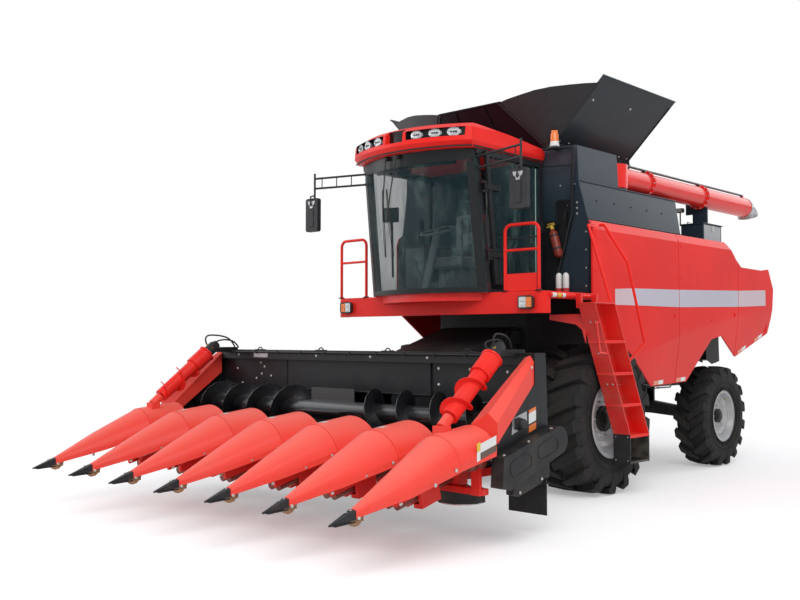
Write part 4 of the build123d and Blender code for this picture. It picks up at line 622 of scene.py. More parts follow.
class Shape:
    """Sheet, bar and bolt work gathered into one mesh, in metres from the ground under the drive axle."""

    def __init__(self, mirrored=False):
        self.mesh = bmesh.new()
        self.mirrored = mirrored

    def block(self, low, high, turn=0.0, about=OUT):
        """A box between two corners, turned about its own middle."""
        low, high = Vector(low), Vector(high)
        made = bmesh.ops.create_cube(self.mesh, size=1.0)["verts"]
        bmesh.ops.scale(self.mesh, vec=high - low, verts=made)
        bmesh.ops.rotate(self.mesh, verts=made, matrix=Matrix.Rotation(turn, 3, Vector(about)))
        bmesh.ops.translate(self.mesh, vec=(low + high) / 2, verts=made)

    def plate(self, outline, depth):
        """A flat plate: an outline of points pushed along a depth."""
        self._skin([outline, spread(depth, outline)], ends_first=True)

    def grid(self, rows, thick=0.0):
        """A sheet through rows of points, with a thickness along its normals."""
        made = [[self.mesh.verts.new(p) for p in row] for row in rows]
        faces = []
        for low, high in zip(made, made[1:]):
            for n in range(len(low) - 1):
                faces.append(self.mesh.faces.new((low[n], low[n + 1], high[n + 1], high[n])))
        bmesh.ops.recalc_face_normals(self.mesh, faces=faces)
        bmesh.ops.solidify(self.mesh, geom=faces, thickness=thick)

    def _skin(self, rings, ends_first=False):
        """Closed skin over rings of points, with a face on both ends."""
        rings = [[self.mesh.verts.new(p) for p in ring] for ring in rings]
        ends, walls = [rings[0][::-1], rings[-1]], []
        for low, high in zip(rings, rings[1:]):
            walls += [(low[n], low[m], high[m], high[n]) for n, m in enumerate([*range(1, len(low)), 0])]
        for face in ends + walls if ends_first else walls + ends:
            self.mesh.faces.new(face)

    def lathe(self, at, way, profile, sides=24):
        """A turned form on an axis: the profile is (along, radius), closed at both ends."""
        at, way = Vector(at), Vector(way).normalized()
        out = side_way(way)
        over = way.cross(out)
        self._skin([[at + way * along + (out * c + over * s) * radius for c, s in turns(sides)]
                    for along, radius in profile])

    def bolt(self, at, way, size=0.011):
        """A washer and a hexagon head with a small crown."""
        self.lathe(at, way, [(-0.002, size * 1.5), (size * 0.22, size * 1.5), (size * 0.26, size * 1.35)],
                   16)
        self.lathe(at, way, [(size * 0.2, size), (size * 0.85, size), (size * 1.0, size * 0.8)], 6)

    def row(self, first, last, count, way, size=0.011):
        """A row of bolts between two points, both included."""
        for share in steps(0, 1, count - 1):
            self.bolt(Vector(first).lerp(Vector(last), share), way, size)

    def bar(self, points, radius, sides=10):
        """A round bar or pipe through points, mitred where it turns."""
        points = [Vector(p) for p in points]
        ways = [(b - a).normalized() for a, b in zip(points, points[1:])]
        out = side_way(ways[0])
        rings = []
        for n, at in enumerate(points):
            before, after = ways[max(0, n - 1)], ways[min(n, len(ways) - 1)]
            across = (before + after).normalized()
            out = (out - before * out.dot(before)).normalized()
            over = before.cross(out)
            edges = [(out * c + over * s) * radius for c, s in turns(sides)]
            rings.append([at + (edge - before * (edge.dot(across) / before.dot(across))) for edge in edges])
        self._skin(rings)

    def piece(self, name, finish, body="chassis", bevel=0.0, smooth=35.0):
        """Ends the mesh: it becomes an object with a finish that rides on a body."""
        mesh = self.mesh
        if self.mirrored:
            bmesh.ops.scale(mesh, vec=(-1.0, 1.0, 1.0), verts=mesh.verts)
        bmesh.ops.translate(mesh, vec=(0.0, AXLE_Y, 0.0), verts=mesh.verts)
        bmesh.ops.recalc_face_normals(mesh, faces=mesh.faces)
        if bevel:
            sharp = [e for e in mesh.edges
                     if len(e.link_faces) == 2 and e.calc_face_angle() > math.radians(SHARP)]
            bmesh.ops.bevel(mesh, geom=sharp, offset=bevel, segments=2, affect="EDGES", clamp_overlap=True)
        for face in mesh.faces:
            face.smooth = True
        for edge in mesh.edges:
            edge.smooth = len(edge.link_faces) == 2 and edge.calc_face_angle() < math.radians(smooth)
        data = bpy.data.meshes.new(name)
        mesh.to_mesh(data)
        mesh.free()
        data.materials.append(finishes()[finish])
        made = bpy.data.objects.new(name, data)
        bpy.context.scene.collection.objects.link(made)
        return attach(made, body)


def build(name, finish, body="chassis", bevel=0.0, smooth=35.0, mirrored=False, **work):
    """Makes one piece from lists of its blocks, plates, grids, lathes, bars, bolts and rows of bolts."""
    shape = Shape(mirrored)
    for kind, items in work.items():
        for item in items:
            getattr(shape, kind[:-1])(*item)
    return shape.piece(name, finish, body, bevel, smooth)


def build_pair(name, finish, body="chassis", bevel=0.0, **work):
    """Makes a piece on the left and its mirror image on the right; the side replaces SIDE in its name."""
    for side, mirrored in SIDES:
        build(name.replace("SIDE", side), finish, body.replace("SIDE", side), bevel, mirrored=mirrored,
              **work)


# --------------------------------------------------------------- side panels
PANEL_LOW, PANEL_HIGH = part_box("side_panel_left")
PANEL_FACE, PANEL_TOP = PANEL_HIGH.x, PANEL_HIGH.z
PANEL_FRONT = PANEL_LOW.y - AXLE_Y
PANEL_OUTLINE = (
    (PANEL_FRONT, PANEL_TOP), (3.25, PANEL_TOP), (3.54, 2.95), (3.71, 2.85), (4.42, 2.84), (4.68, 2.87),
    (4.86, 2.57), (4.8, 2.13), (4.72, 1.89), (3.63, 1.55), (3.08, 1.85), (2.76, 1.8), (2.107, 1.24),
    (1.12, 1.21), (PANEL_FRONT, 2.19),
)
PANEL_CREASE = ((PANEL_FRONT, 1.376), (1.804, 1.85), (2.588, 1.966), (3.57, 2.151), (4.9, 2.275))
PANEL_SHOULDER = PANEL_TOP - 0.105
PANEL_TUCK = 0.13        # how far the sheet leans in below its crease, for each metre
SHOULDER_LEAN = 0.42     # and above its shoulder
PANEL_THICK = 0.022
PANEL_SEAMS = (1.77, 3.59)
SEAM_GAP = 0.007
STRIPE_LOW = ((0.15, 2.213), (0.635, 2.219), (1.735, 2.223), (3.608, 2.273), (4.56, 2.312))
STRIPE_HIGH = ((0.15, 2.402), (0.614, 2.426), (1.741, 2.45), (3.582, 2.504), (4.56, 2.547))
PANEL_FOOT = ((1.12, 1.21), (2.107, 1.24))
PANEL_SLANT = ((3.63, 1.55), (4.72, 1.89))
FILM_PROUD = 0.0025


def on_panel(y, z, proud=0.0):
    """A point on the side sheet: flat, tucked in under its crease and leaning in above its shoulder."""
    tuck = max(0.0, level(PANEL_CREASE, y) - z) * PANEL_TUCK
    return Vector((PANEL_FACE - tuck - max(0.0, z - PANEL_SHOULDER) * SHOULDER_LEAN + proud, y, z))


class HARVESTER_OT_side_panels(bpy.types.Operator):
    """Folded side sheets with their seams, stripe and reflectors"""

    bl_idname = "harvester.side_panels"
    bl_label = "Side panels"

    def sheet(self, name, mirrored):
        """The panel's outline cut at its folds and seams, then bent and thickened."""
        skin = Shape(mirrored)
        mesh = skin.mesh
        mesh.faces.new([mesh.verts.new((0.0, y, z)) for y, z in PANEL_OUTLINE])
        cuts = [((0, 0, PANEL_SHOULDER), (0, 0, 1))]
        for (ya, za), (yb, zb) in zip(PANEL_CREASE, PANEL_CREASE[1:]):
            cuts += [((0, ya, za), (0, zb - za, ya - yb)), ((0, yb, zb), (0, 1, 0))]
        cuts += [((0, y + edge, 0), (0, 1, 0)) for y in PANEL_SEAMS
                 for edge in (-SEAM_GAP / 2, SEAM_GAP / 2)]
        for at, way in cuts:
            everything = mesh.verts[:] + mesh.edges[:] + mesh.faces[:]
            bmesh.ops.bisect_plane(mesh, geom=everything, plane_co=at, plane_no=way, dist=1e-5)
        gaps = [f for f in mesh.faces if any(abs(f.calc_center_median().y - y) < SEAM_GAP / 2
                                             for y in PANEL_SEAMS)]
        bmesh.ops.delete(mesh, geom=gaps, context="FACES")
        for vert in mesh.verts:
            vert.co = on_panel(vert.co.y, vert.co.z)
        bmesh.ops.recalc_face_normals(mesh, faces=mesh.faces)
        if sum(f.normal.x for f in mesh.faces) < 0:
            bmesh.ops.reverse_faces(mesh, faces=mesh.faces)
        bmesh.ops.solidify(mesh, geom=mesh.faces[:], thickness=PANEL_THICK)
        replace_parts(skin.piece(name, "red", "chassis", 0.0025, 12.0), name.replace("sheet", "panel"))

    def execute(self, context):
        for side, mirrored in SIDES:
            self.sheet("side_sheet_" + side, mirrored)
        stripe = []
        ends = (STRIPE_LOW[0][0], *PANEL_SEAMS, STRIPE_LOW[-1][0])
        for start, end in zip(ends, ends[1:]):
            rows = [[(PANEL_FACE + FILM_PROUD, y, level(edge, y)) for edge in (STRIPE_LOW, STRIPE_HIGH)]
                    for y in steps(start + SEAM_GAP, end - SEAM_GAP, 4)]
            stripe.append((rows, 0.002))
        build_pair("side_stripe_SIDE", "stripe", grids=stripe)
        for hue, shift in (("reflector_orange", 0.0), ("reflector_white", 0.135)):
            tapes = []
            for edge, at in ((PANEL_FOOT, 1.165), (PANEL_FOOT, 1.8), (PANEL_SLANT, 3.69),
                             (PANEL_SLANT, 4.25)):
                rows = [[on_panel(y, level(edge, y) + up, FILM_PROUD) for up in (0.014, 0.066)]
                        for y in (at + shift, at + shift + 0.13)]
                tapes.append((rows, 0.0018))
            build_pair(hue + "_SIDE", hue, grids=tapes)
        bolts = [(on_panel(y, 1.99 + 0.09 * (y - 1.9)), OUT, 0.008) for y in (1.9, 2.7, 3.45)]
        for y in (-0.28, 1.7, 1.84):
            bolts += [(on_panel(y, z), OUT, 0.009) for z in (PANEL_SHOULDER - 0.06, 2.6)]
        latch = ((0, 0.03), (0.006, 0.03), (0.009, 0.024), (0.009, 0.012), (0.014, 0.01))
        build_pair("side_fasteners_SIDE", "red", bolts=bolts,
                   lathes=[(on_panel(y, z), OUT, latch, 20) for y, z in ((1.66, 2.11), (3.48, 2.16))])
        ledge = Shape()
        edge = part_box("grain_tank")[1].x
        for x in (1, -1):
            low, high = sorted((x * (edge - 0.05), x * (edge + 0.055)))
            ledge.block((low, PANEL_FRONT + 0.02, PANEL_TOP - 0.035), (high, 2.03, PANEL_TOP + 0.004))
            ledge.bar([(x * (edge + 0.02), y, PANEL_TOP + 0.02) for y in (PANEL_FRONT + 0.05, 2.0)], 0.011)
        ledge.piece("tank_foot_rails", "chassis_black", bevel=0.003)
        return {"FINISHED"}


# ----------------------------------------------------------------- tank flaps
TANK_TOP = 4.1
MOUTH_X = 1.0
MOUTH_FRONT, MOUTH_REAR = -0.33, 1.48
FLAP_TILT = math.radians(32.0)      # the end flaps' lean from upright; the side flaps lean by 45 degrees
CLOTH_THICK = 0.005
CORNER_X = 1.3745                   # the tank's upper side wall


class HARVESTER_OT_tank_corners(bpy.types.Operator):
    """Curved corner sheets between the open flaps, with the flaps' ribs and bolts"""

    bl_idname = "harvester.tank_corners"
    bl_label = "Tank corners"

    def corner(self, end, foot_y, way, side, x):
        """A pleated cloth that laps over both flaps' edges on their outer sides."""
        end_foot = Vector((0, foot_y - way * 0.006, TANK_TOP + 0.016))
        end_foot += Vector((0, way * 0.848, -0.53)) * 0.013
        end_rise = Vector((0, way * 0.53, 0.848))
        side_foot = Vector((x * (MOUTH_X - 0.006), foot_y - way * 0.055, TANK_TOP + 0.056))
        side_foot += Vector((x, 0, -1)).normalized() * 0.013
        side_rise = Vector((x, 0, 1)).normalized()
        foot_in = end_foot + end_rise * -0.012 + OUT * (x * 0.905)
        foot_out = side_foot + side_rise * -0.015
        inner = end_foot + end_rise * 0.645 + OUT * (x * 0.45)
        outer = side_foot + side_rise * 0.89
        rows = []
        for across in (0.0, 0.12, 0.26, 0.42, 0.58, 0.74, 0.88, 1.0):
            swell = math.sin(math.pi * across)
            rim = inner.lerp(outer, across) + Vector((0, way * 0.05, 0.04)) * swell
            row = []
            for up in (0.0, 0.08, 0.2, 0.4, 0.6, 0.8, 0.96, 1.0):
                pleat = math.sin(math.pi * 5 * across) * 0.012 * up * (1.0 - 0.3 * up)
                bulge = Vector((0, way * (swell * (0.035 + 0.02 * up) + pleat), 0))
                row.append(foot_in.lerp(foot_out, across).lerp(rim, up) + bulge)
            rows.append(row)
        sheet = build("corner_sheet_%s_%s" % (end, side), "tarpaulin", smooth=50,
                      grids=[(rows, CLOTH_THICK)])
        apex = Vector((x * (MOUTH_X + 0.01), foot_y + way * 0.016 + AXLE_Y, TANK_TOP + 0.045))
        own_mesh(sheet)

    def side_flap(self, side, x):
        """The lip and the bolts of a side flap."""
        foot = Vector((x * (MOUTH_X - 0.006), 0, TANK_TOP + 0.056))
        rise, out = Vector((x, 0, 1)).normalized(), Vector((x, 0, -1)).normalized()

        def on_flap(y, up, proud):
            return foot + rise * up + out * proud + Vector((0, y, 0))

        front, rear = MOUTH_FRONT + 0.035, MOUTH_REAR - 0.035
        section = ((front, 0.004), (rear, 0.004), (rear, 0.022), (front, 0.022))
        lip = [on_flap(y, 0.987, proud) for y, proud in section]
        # the lip is painted pale teal as a highlight along the flap's edge
        build("flap_lip_" + side, "flap_edge", "tank_flap_" + side, 0.002, plates=[(lip, rise * 0.005)])
        bolts = [(on_flap(y, 0.045, 0.0045), out, 0.008)
                 for y in steps(MOUTH_FRONT + 0.12, MOUTH_REAR - 0.12, 8)]
        bolts += [(on_flap(MOUTH_FRONT + 0.12 + y, up, 0.0045), out, 0.011)
                  for y, up in ((0.05, 0.66), (0.86, 0.7))]
        build("flap_bolts_" + side, "zinc", "tank_flap_" + side, bolts=bolts)

    def end_flap(self, end, foot_y, way):
        """The bars and straps of the front or rear flap."""
        foot = Vector((0, foot_y - way * 0.006, TANK_TOP + 0.016))
        rise = Vector((0, way * math.sin(FLAP_TILT), math.cos(FLAP_TILT)))
        out = Vector((0, way * math.cos(FLAP_TILT), -math.sin(FLAP_TILT)))

        def on_flap(x, up, proud):
            return foot + rise * up + out * proud + OUT * x

        bars = [([on_flap(x * 0.92, 0.03, 0.012), on_flap(x * 0.49, 0.645, 0.012)], 0.009, 8)
                for x in (-1, 1)]
        bars.append(([on_flap(-0.49, 0.65, 0.01), on_flap(0.49, 0.65, 0.01)], 0.009, 8))
        straps = []
        for x in (-1, 1):
            corners = ((0.3, -0.02, 0.05), (0.22, -0.02, 0.62), (0.22, 0.02, 0.62), (0.3, 0.02, 0.05))
            straps.append(([on_flap(x * mid + half, up, 0.005) for mid, half, up in corners], out * 0.012))
        # the end flaps' bars and straps share their painted shade
        build("flap_ribs_" + end, "flap_dark", "tank_flap_" + end, bars=bars, plates=straps)

    def execute(self, context):
        for end, foot_y, way in (("front", MOUTH_FRONT, -1), ("rear", MOUTH_REAR, 1)):
            for side, x in (("left", 1), ("right", -1)):
                self.corner(end, foot_y, way, side, x)
            self.end_flap(end, foot_y, way)
        for side, x in (("left", 1), ("right", -1)):
            self.side_flap(side, x)
        seals, seams = Shape(), Shape()
        foot = TANK_TOP - 0.004
        for x in (1, -1):
            seals.block((x * MOUTH_X - 0.008, MOUTH_FRONT + 0.03, foot),
                        (x * MOUTH_X + 0.008, MOUTH_REAR - 0.03, TANK_TOP + 0.036))
            for y in (MOUTH_FRONT + 0.012, MOUTH_REAR - 0.012):
                seals.block((x * 0.985 - 0.03, y - 0.022, foot),
                            (x * 0.985 + 0.03, y + 0.022, TANK_TOP + 0.032))
            for y in (0.575, 1.3):
                wall = sorted((x * CORNER_X, x * (CORNER_X + 0.004)))
                seams.block((wall[0], y, 3.655), (wall[1], y + 0.03, 3.68))
            seams.bar([(x * 1.376, MOUTH_FRONT + 0.02, 3.66), (x * 1.376, 2.03, 3.66)], 0.007, 6)
            seams.row((x * 1.405, 0.0, 3.45), (x * 1.405, 1.6, 3.45), 5, (x, 0, 0.16), 0.008)
        seals.piece("mouth_seals", "soft_black", bevel=0.004)
        seams.piece("tank_seams", "slate")
        return {"FINISHED"}


# ---------------------------------------------------------------- cab and roof
CAB_BULGE = 0.285
ROOF_HALF, ROOF_FRONT = 0.915, -1.755
POD_LOW, POD_HIGH = 4.042, 4.142
POD_MID = (POD_LOW + POD_HIGH) / 2
ROOF_LAMPS = (-0.725, -0.522, -0.302, 0.302, 0.522, 0.725)
SCREEN_LOW, SCREEN_HIGH = 2.33, 3.92
DRIP_Z = 3.934           # the roof's lower edge
BAND_PROUD = 0.0012
WALL_Y = -0.334          # the grain tank's front wall beside the cab
NICHE = ((1.225, 3.415, 0), (1.085, 3.415, 90), (1.085, 3.145, 180), (1.225, 3.145, 270))
FLOOR_Z = 2.3677         # the cab's floor


def bow_y(x, half, front):
    """The forward edge of a bowed panel, at one place across it."""
    radius = (half * half + CAB_BULGE * CAB_BULGE) / (2 * CAB_BULGE)
    return front - CAB_BULGE + radius - math.sqrt(radius * radius - x * x)


def on_roof(x, z, inset):
    return Vector((x, bow_y(x, ROOF_HALF, ROOF_FRONT) + inset, z))


def on_screen(x, z, proud=0.0):
    """A point on the windscreen's outer face."""
    share = (z - SCREEN_LOW) / (SCREEN_HIGH - SCREEN_LOW)
    return Vector((x, bow_y(x, 0.89 - 0.025 * share, -1.4483 - 0.19 * share) - proud, z))


class HARVESTER_OT_roof_lamps(bpy.types.Operator):
    """Black lamp recesses, chromed bezels, the blank centre plate and the amber beacon"""

    bl_idname = "harvester.roof_lamps"
    bl_label = "Roof lamps and beacon"

    def execute(self, context):
        liner = Shape()
        recess = ((0.012, POD_LOW + 0.0015), (0.06, POD_LOW + 0.002), (0.0665, POD_LOW + 0.01),
                  (0.0665, POD_HIGH - 0.01), (0.06, POD_HIGH - 0.002), (0.012, POD_HIGH - 0.0015))
        cheek = ((0.014, POD_LOW + 0.002), (0.066, POD_LOW + 0.002), (0.066, POD_HIGH - 0.002),
                 (0.014, POD_HIGH - 0.002))
        for side in (1, -1):
            rows = [[on_roof(side * x, z, inset) for inset, z in recess] for x in steps(0.178, 0.847, 16)]
            liner.grid(rows, 0.0012)
            for x in (0.1765, 0.8475):
                liner.plate([on_roof(side * x, z, inset) for inset, z in cheek], (0.001, 0, 0))
        liner.piece("lamp_recesses", "gloss_black")
        profile = ((0.0865, 4.04), (0.0865, 4.15), (0.07, 4.178))
        rows = [[on_roof(x, z, inset) for inset, z in profile] for x in steps(-0.131, 0.131, 6)]
        build("centre_plate", "gloss_black", grids=[(rows, 0.003)])
        bezels, bulbs = Shape(), Shape()
        for lamp_x in ROOF_LAMPS:
            for rx, rz, inset, radius in ((0.0655, 0.0465, 0.0335, 0.0048), (0.052, 0.034, 0.0325, 0.0022)):
                bezels.bar([on_roof(lamp_x + rx * math.cos(a), POD_MID + rz * math.sin(a), inset)
                            for a in steps(0, math.tau, 28)], radius, 6)
            for dx in (-0.026, 0.0, 0.026):
                bulbs.lathe(on_roof(lamp_x + dx, POD_MID, 0.0345), AHEAD,
                            ((0, 0.012), (0.002, 0.012), (0.0035, 0.007)), 12)
            bulbs.block(on_roof(lamp_x - 0.048, POD_MID - 0.0012, 0.033),
                        on_roof(lamp_x + 0.048, POD_MID + 0.0012, 0.031))
        bezels.piece("lamp_bezels", "chrome")
        bulbs.piece("lamp_bulbs", "dark_glass")
        centre = Vector((1.09, -0.41, 4.08))
        dome = ((0.052, 0.044), (0.06, 0.047), (0.075, 0.0455), (0.15, 0.0435), (0.176, 0.038),
                (0.19, 0.026), (0.1955, 0.01))
        foot = ((0.0006, 0.058), (0.018, 0.058), (0.024, 0.053), (0.05, 0.0525), (0.056, 0.049))
        ribs = [([centre + Vector((c * radius, s * radius, up))
                  for radius, up in ((0.0465, 0.068), (0.0442, 0.15))], 0.0022, 6) for c, s in turns(12)]
        build("beacon_dome", "amber", lathes=[(centre, UP, dome, 28)], bars=ribs)
        build("beacon_foot", "white", lathes=[(centre, UP, foot, 28)])
        # a drip edge follows the roof's lower edge round the front
        drips = [([on_roof(x, DRIP_Z, 0.03) for x in steps(-0.905, 0.905, 24)], 0.009, 8)]
        drips += [([(x, -1.7, DRIP_Z), (x, -0.37, DRIP_Z)], 0.009, 8) for x in (0.905, -0.905)]
        build("roof_drip_edge", "plastic", bars=drips)
        # the air conditioner's lid and its screws on the roof
        slope, normal = Vector((0, 1.21, -0.128)).normalized(), Vector((0, 0.128, 1.21)).normalized()
        base = Vector((0, -1.3, 4.1735))
        half = ((0, -0.42), (0.08, -0.5), (0.72, -0.5), (0.78, -0.44))
        lid = [base + slope * a + OUT * x for a, x in half]
        lid += [base + slope * a - OUT * x for a, x in half[::-1]]
        build("roof_lid", "red", bevel=0.006, plates=[(lid, normal * 0.016)])
        build("roof_screws", "zinc", bolts=[(base + slope * a + OUT * x + normal * 0.016, normal, 0.008)
                                            for a in (0.06, 0.38, 0.7) for x in (-0.46, 0.46)])
        return {"FINISHED"}


class HARVESTER_OT_cab_trim(bpy.types.Operator):
    """Windscreen bands, wipers, the gutter to the tank, and what hangs on the wall beside the door"""

    bl_idname = "harvester.cab_trim"
    bl_label = "Cab trim"

    def bands(self):
        """The black edge printed round the windscreen."""
        top = [[on_screen(x, 3.775 + 0.02 * (x / 0.8) ** 2, BAND_PROUD), on_screen(x, 3.916, BAND_PROUD)]
               for x in steps(-0.862, 0.862, 24)]
        foot = [[on_screen(x, z, BAND_PROUD) for z in (2.334, 2.385)] for x in steps(-0.884, 0.884, 24)]
        sides = [[[on_screen(side * (x - 0.024 * s), 2.385 + 1.39 * s, BAND_PROUD) for x in (0.884, 0.8)]
                  for s in steps(0, 1, 8)] for side in (1, -1)]
        build("screen_bands", "screen_black", grids=[(rows, BAND_PROUD) for rows in (top, foot, *sides)])

    def wipers(self):
        """Two wipers with their pivots, arms, blades and spines."""
        wipers = Shape()
        for root_x, elbow_x, sweep in ((-0.2, -0.34, -0.05), (-0.02, -0.26, 0.03)):
            pivot = on_screen(root_x, 3.89, -0.002)
            elbow = on_screen(elbow_x, 3.2, 0.05)
            wipers.lathe(pivot, AHEAD, ((0, 0.026), (0.05, 0.024), (0.056, 0.016)), 16)
            wipers.bar([on_screen(root_x, 3.89, 0.045), on_screen((root_x + elbow_x) / 2, 3.52, 0.062),
                        elbow], 0.0075, 8)
            for radius, proud, arch in ((0.0055, 0.012, 0.0), (0.004, 0.024, 0.014)):
                wipers.bar([on_screen(elbow_x + sweep * t, 3.55 - 0.78 * t,
                                      proud + arch * math.sin(math.pi * t))
                            for t in steps(0, 1, 10)], radius, 6)
            wipers.bar([elbow, on_screen(elbow_x + sweep * 0.45, 3.2, 0.014)], 0.009, 8)
        wipers.piece("wipers", "plastic", smooth=50)

    def wall(self):
        """The pipes, sheet, bolts and switch niche on the tank's wall beside the door."""
        build("wall_frame", "chassis_black", bars=(
            ([(0.945, -0.44, 4.06), (1.322, -0.375, 4.052)], 0.017, 8),
            ([(1.318, -0.375, 4.056), (1.3, -0.372, 3.284), (1.06, -0.372, 2.43), (1.06, -0.372, 2.345)],
             0.014, 8),
            ([(0.9, -0.425, 3.86), (1.3, -0.372, 3.84)], 0.008, 6)))
        outline = ((1.342, 4.04), (1.315, 3.284), (1.075, 2.43), (1.075, 2.345), (1.49, 2.345),
                   (1.518, 3.12), (1.362, 3.7))
        build("wall_sheet", "slate", bevel=0.003,
              plates=[([(x, WALL_Y, z) for x, z in outline], (0, -0.012, 0))])
        build("wall_bolts", "zinc", bolts=[((x, WALL_Y - 0.008, 3.62), AHEAD, 0.006) for x in (1.32, 1.12)],
              rows=(((1.352, -0.346, 3.4), (1.352, -0.346, 3.27), 3, AHEAD, 0.008),
                    ((1.47, -0.346, 3.05), (1.47, -0.346, 2.42), 4, AHEAD, 0.007)))
        outline = []
        for x, z, first in NICHE:
            for a in (math.radians(first + part) for part in (0, 30, 60, 90)):
                outline.append((x + 0.035 * math.cos(a), -0.331, z + 0.035 * math.sin(a)))
        build("switch_niche", "gloss_black", bevel=0.001, plates=[(outline, (0, -0.006, 0))],
              lathes=[((1.205, -0.337, 3.365), AHEAD,
                       ((0, 0.022), (0.008, 0.022), (0.012, 0.016), (0.024, 0.014)), 16)],
              bars=(([(1.2, -0.352, 3.3), (1.196, -0.375, 3.26), (1.19, -0.375, 3.2)], 0.008, 8),
                    ([(1.225, -0.35, 3.22), (1.19, -0.365, 3.19), (1.195, -0.35, 3.13)], 0.006, 8)))

    def extinguisher(self):
        """The fire extinguisher, its head and its two clips."""
        foot, way = Vector((1.15, -0.415, 2.77)), Vector((-0.3, 0.02, 1.0)).normalized()
        body = ((0, 0.03), (0.02, 0.048), (0.05, 0.052), (0.28, 0.052), (0.31, 0.044), (0.33, 0.026),
                (0.345, 0.022))
        build("extinguisher_bottle", "red_brown", lathes=[(foot, way, body)])
        head = foot + way * 0.345
        grips = ((-0.075, 0.035, 0.03, 0.052, -0.3), (-0.07, 0.062, 0.025, 0.074, -0.15))
        build("extinguisher_head", "dull_yellow", bevel=0.003,
              lathes=[(head, way, ((0, 0.024), (0.03, 0.024), (0.034, 0.018), (0.05, 0.016)), 16)],
              blocks=[(head + Vector((x0, -0.012, z0)), head + Vector((x1, 0.012, z1)), turn, (0, 1, 0))
                      for x0, z0, x1, z1, turn in grips])
        clips = Shape()
        for at in (foot + way * 0.09, foot + way * 0.25):
            clips.lathe(at, way, ((0, 0.055), (0.022, 0.055)))
            clips.block(at + Vector((-0.02, 0.02, -0.01)), at + Vector((0.02, 0.085, 0.012)))
        clips.piece("extinguisher_clips", "plastic", bevel=0.001)

    def execute(self, context):
        self.bands()
        self.wipers()
        self.wall()
        self.extinguisher()
        bottle = ((0, 0.034), (0.01, 0.038), (0.2, 0.038), (0.228, 0.034), (0.247, 0.022), (0.254, 0.008))
        for name, finish, z, profile in (("oil_bottles", "white", 2.3275, bottle),
                                         ("bottle_bands", "label_red", 2.345,
                                          ((0, 0.0386), (0.055, 0.0386)))):
            build(name, finish, lathes=[((x, -0.425, z), UP, profile) for x in (1.15, 1.245)])
        return {"FINISHED"}


class HARVESTER_OT_cab_inside(bpy.types.Operator):
    """What shows through the glass: seat seams, levers, display, curtain rail and pane edges"""

    bl_idname = "harvester.cab_inside"
    bl_label = "Cab inside"

    def execute(self, context):
        floor = FLOOR_Z
        # the panes' polished edges show pale green
        build("door_pane_edge", "pane_edge", "cab_door",
              blocks=[((0.9125, -0.56, 2.5), (0.9145, -0.545, 3.82))])
        panes = ((-0.78, 2.45), (0.1, 2.98), (0.78, 2.95))
        build("rear_pane_edges", "pane_edge",
              blocks=[((x - 0.012, -0.448, low), (x + 0.012, -0.446, 3.8)) for x, low in panes])
        seams = [([(x, -0.665, floor + 0.42), (x, -0.663, floor + 0.93)], 0.01, 8)
                 for x in (-0.12, 0.0, 0.12)]
        seams += [([(x, -1.09, floor + 0.434), (x, -0.68, floor + 0.434)], 0.01, 8)
                  for x in (-0.12, 0.0, 0.12)]
        posts = [([(x, -0.6, floor + 0.9), (x, -0.6, floor + 1.05)], 0.008) for x in (-0.05, 0.05)]
        build("seat_seams", "plastic", bevel=0.012, bars=seams + posts,
              blocks=[((-0.115, -0.645, floor + 0.985), (0.115, -0.56, floor + 1.14))])
        # the drive lever, a display's post, a sun blind's roller, a grab rail and the wheel's spokes
        hub, tilt = Vector((0, -1.262, floor + 0.725)), Matrix.Rotation(math.radians(18), 3, "X")
        bars = [([(-0.42, -1.0, floor + 0.56), (-0.42, -1.06, floor + 0.72), (-0.4, -1.09, floor + 0.8)],
                 0.011),
                ([(-0.7, -1.3, floor + 0.2), (-0.7, -1.32, floor + 0.95)], 0.014),
                ([(-0.6, -1.66, 3.8), (0.0, -1.78, 3.8), (0.6, -1.66, 3.8)], 0.028, 12),
                ([(0.8, -0.52, 2.45), (0.8, -0.52, 3.8)], 0.012)]
        bars += [([hub, hub + tilt @ Vector((0.2 * c, 0.2 * s, 0))], 0.012)
                 for c, s in turns(3, math.radians(90))]
        blocks = [((-0.58 + x, -0.94, floor + 0.56), (-0.55 + x, -0.9, floor + 0.58))
                  for x in steps(0, 0.2, 4)]
        blocks += [((-0.6, -0.84, floor + 0.5605), (-0.34, -0.6, floor + 0.568)),
                   ((-0.8, -1.36, floor + 0.88), (-0.6, -1.32, floor + 1.06), 0.5, UP),
                   ((-0.25, -1.78, 3.7), (0.02, -1.76, 3.765))]
        knob = ((0, 0.018), (0.03, 0.028), (0.09, 0.03), (0.12, 0.018))
        build("cab_levers", "plastic", bevel=0.002, bars=bars, blocks=blocks,
              lathes=[((-0.4, -1.09, floor + 0.79), (0.05, -0.25, 1), knob, 16)])
        window = ((0.15, 3.05, 0.62, 3.07), (0.15, 3.42, 0.62, 3.44), (0.15, 3.05, 0.17, 3.44),
                  (0.6, 3.05, 0.62, 3.44))
        build("cab_back_trim", "plastic", bevel=0.001,
              blocks=[((-0.8, -0.452, 2.4), (0.8, -0.4505, 2.93))]
              + [((x0, -0.462, z0), (x1, -0.449, z1)) for x0, z0, x1, z1 in window])
        return {"FINISHED"}


# ------------------------------------------------------------ deck and ladder
DECK_Z = 2.327
LAMP_Y = -1.4405         # the head lamps' face
LAMP_CELLS = ((1.325, 2.163, 180), (1.465, 2.163, 270), (1.465, 2.248, 0), (1.325, 2.248, 90))
HOOP_X, HOOP_Y = (1.084, 1.533), -1.38
MIRROR_X, MIRROR_Y = 1.6, -1.8455
STEP_RISE, STEP_RUN, STEP_DEEP = 0.36, 0.176, 0.43
LOW_TREAD_Y, LOW_TREAD_Z = -0.64 + 3 * 0.176, 0.71
STRAP_Z = 0.39


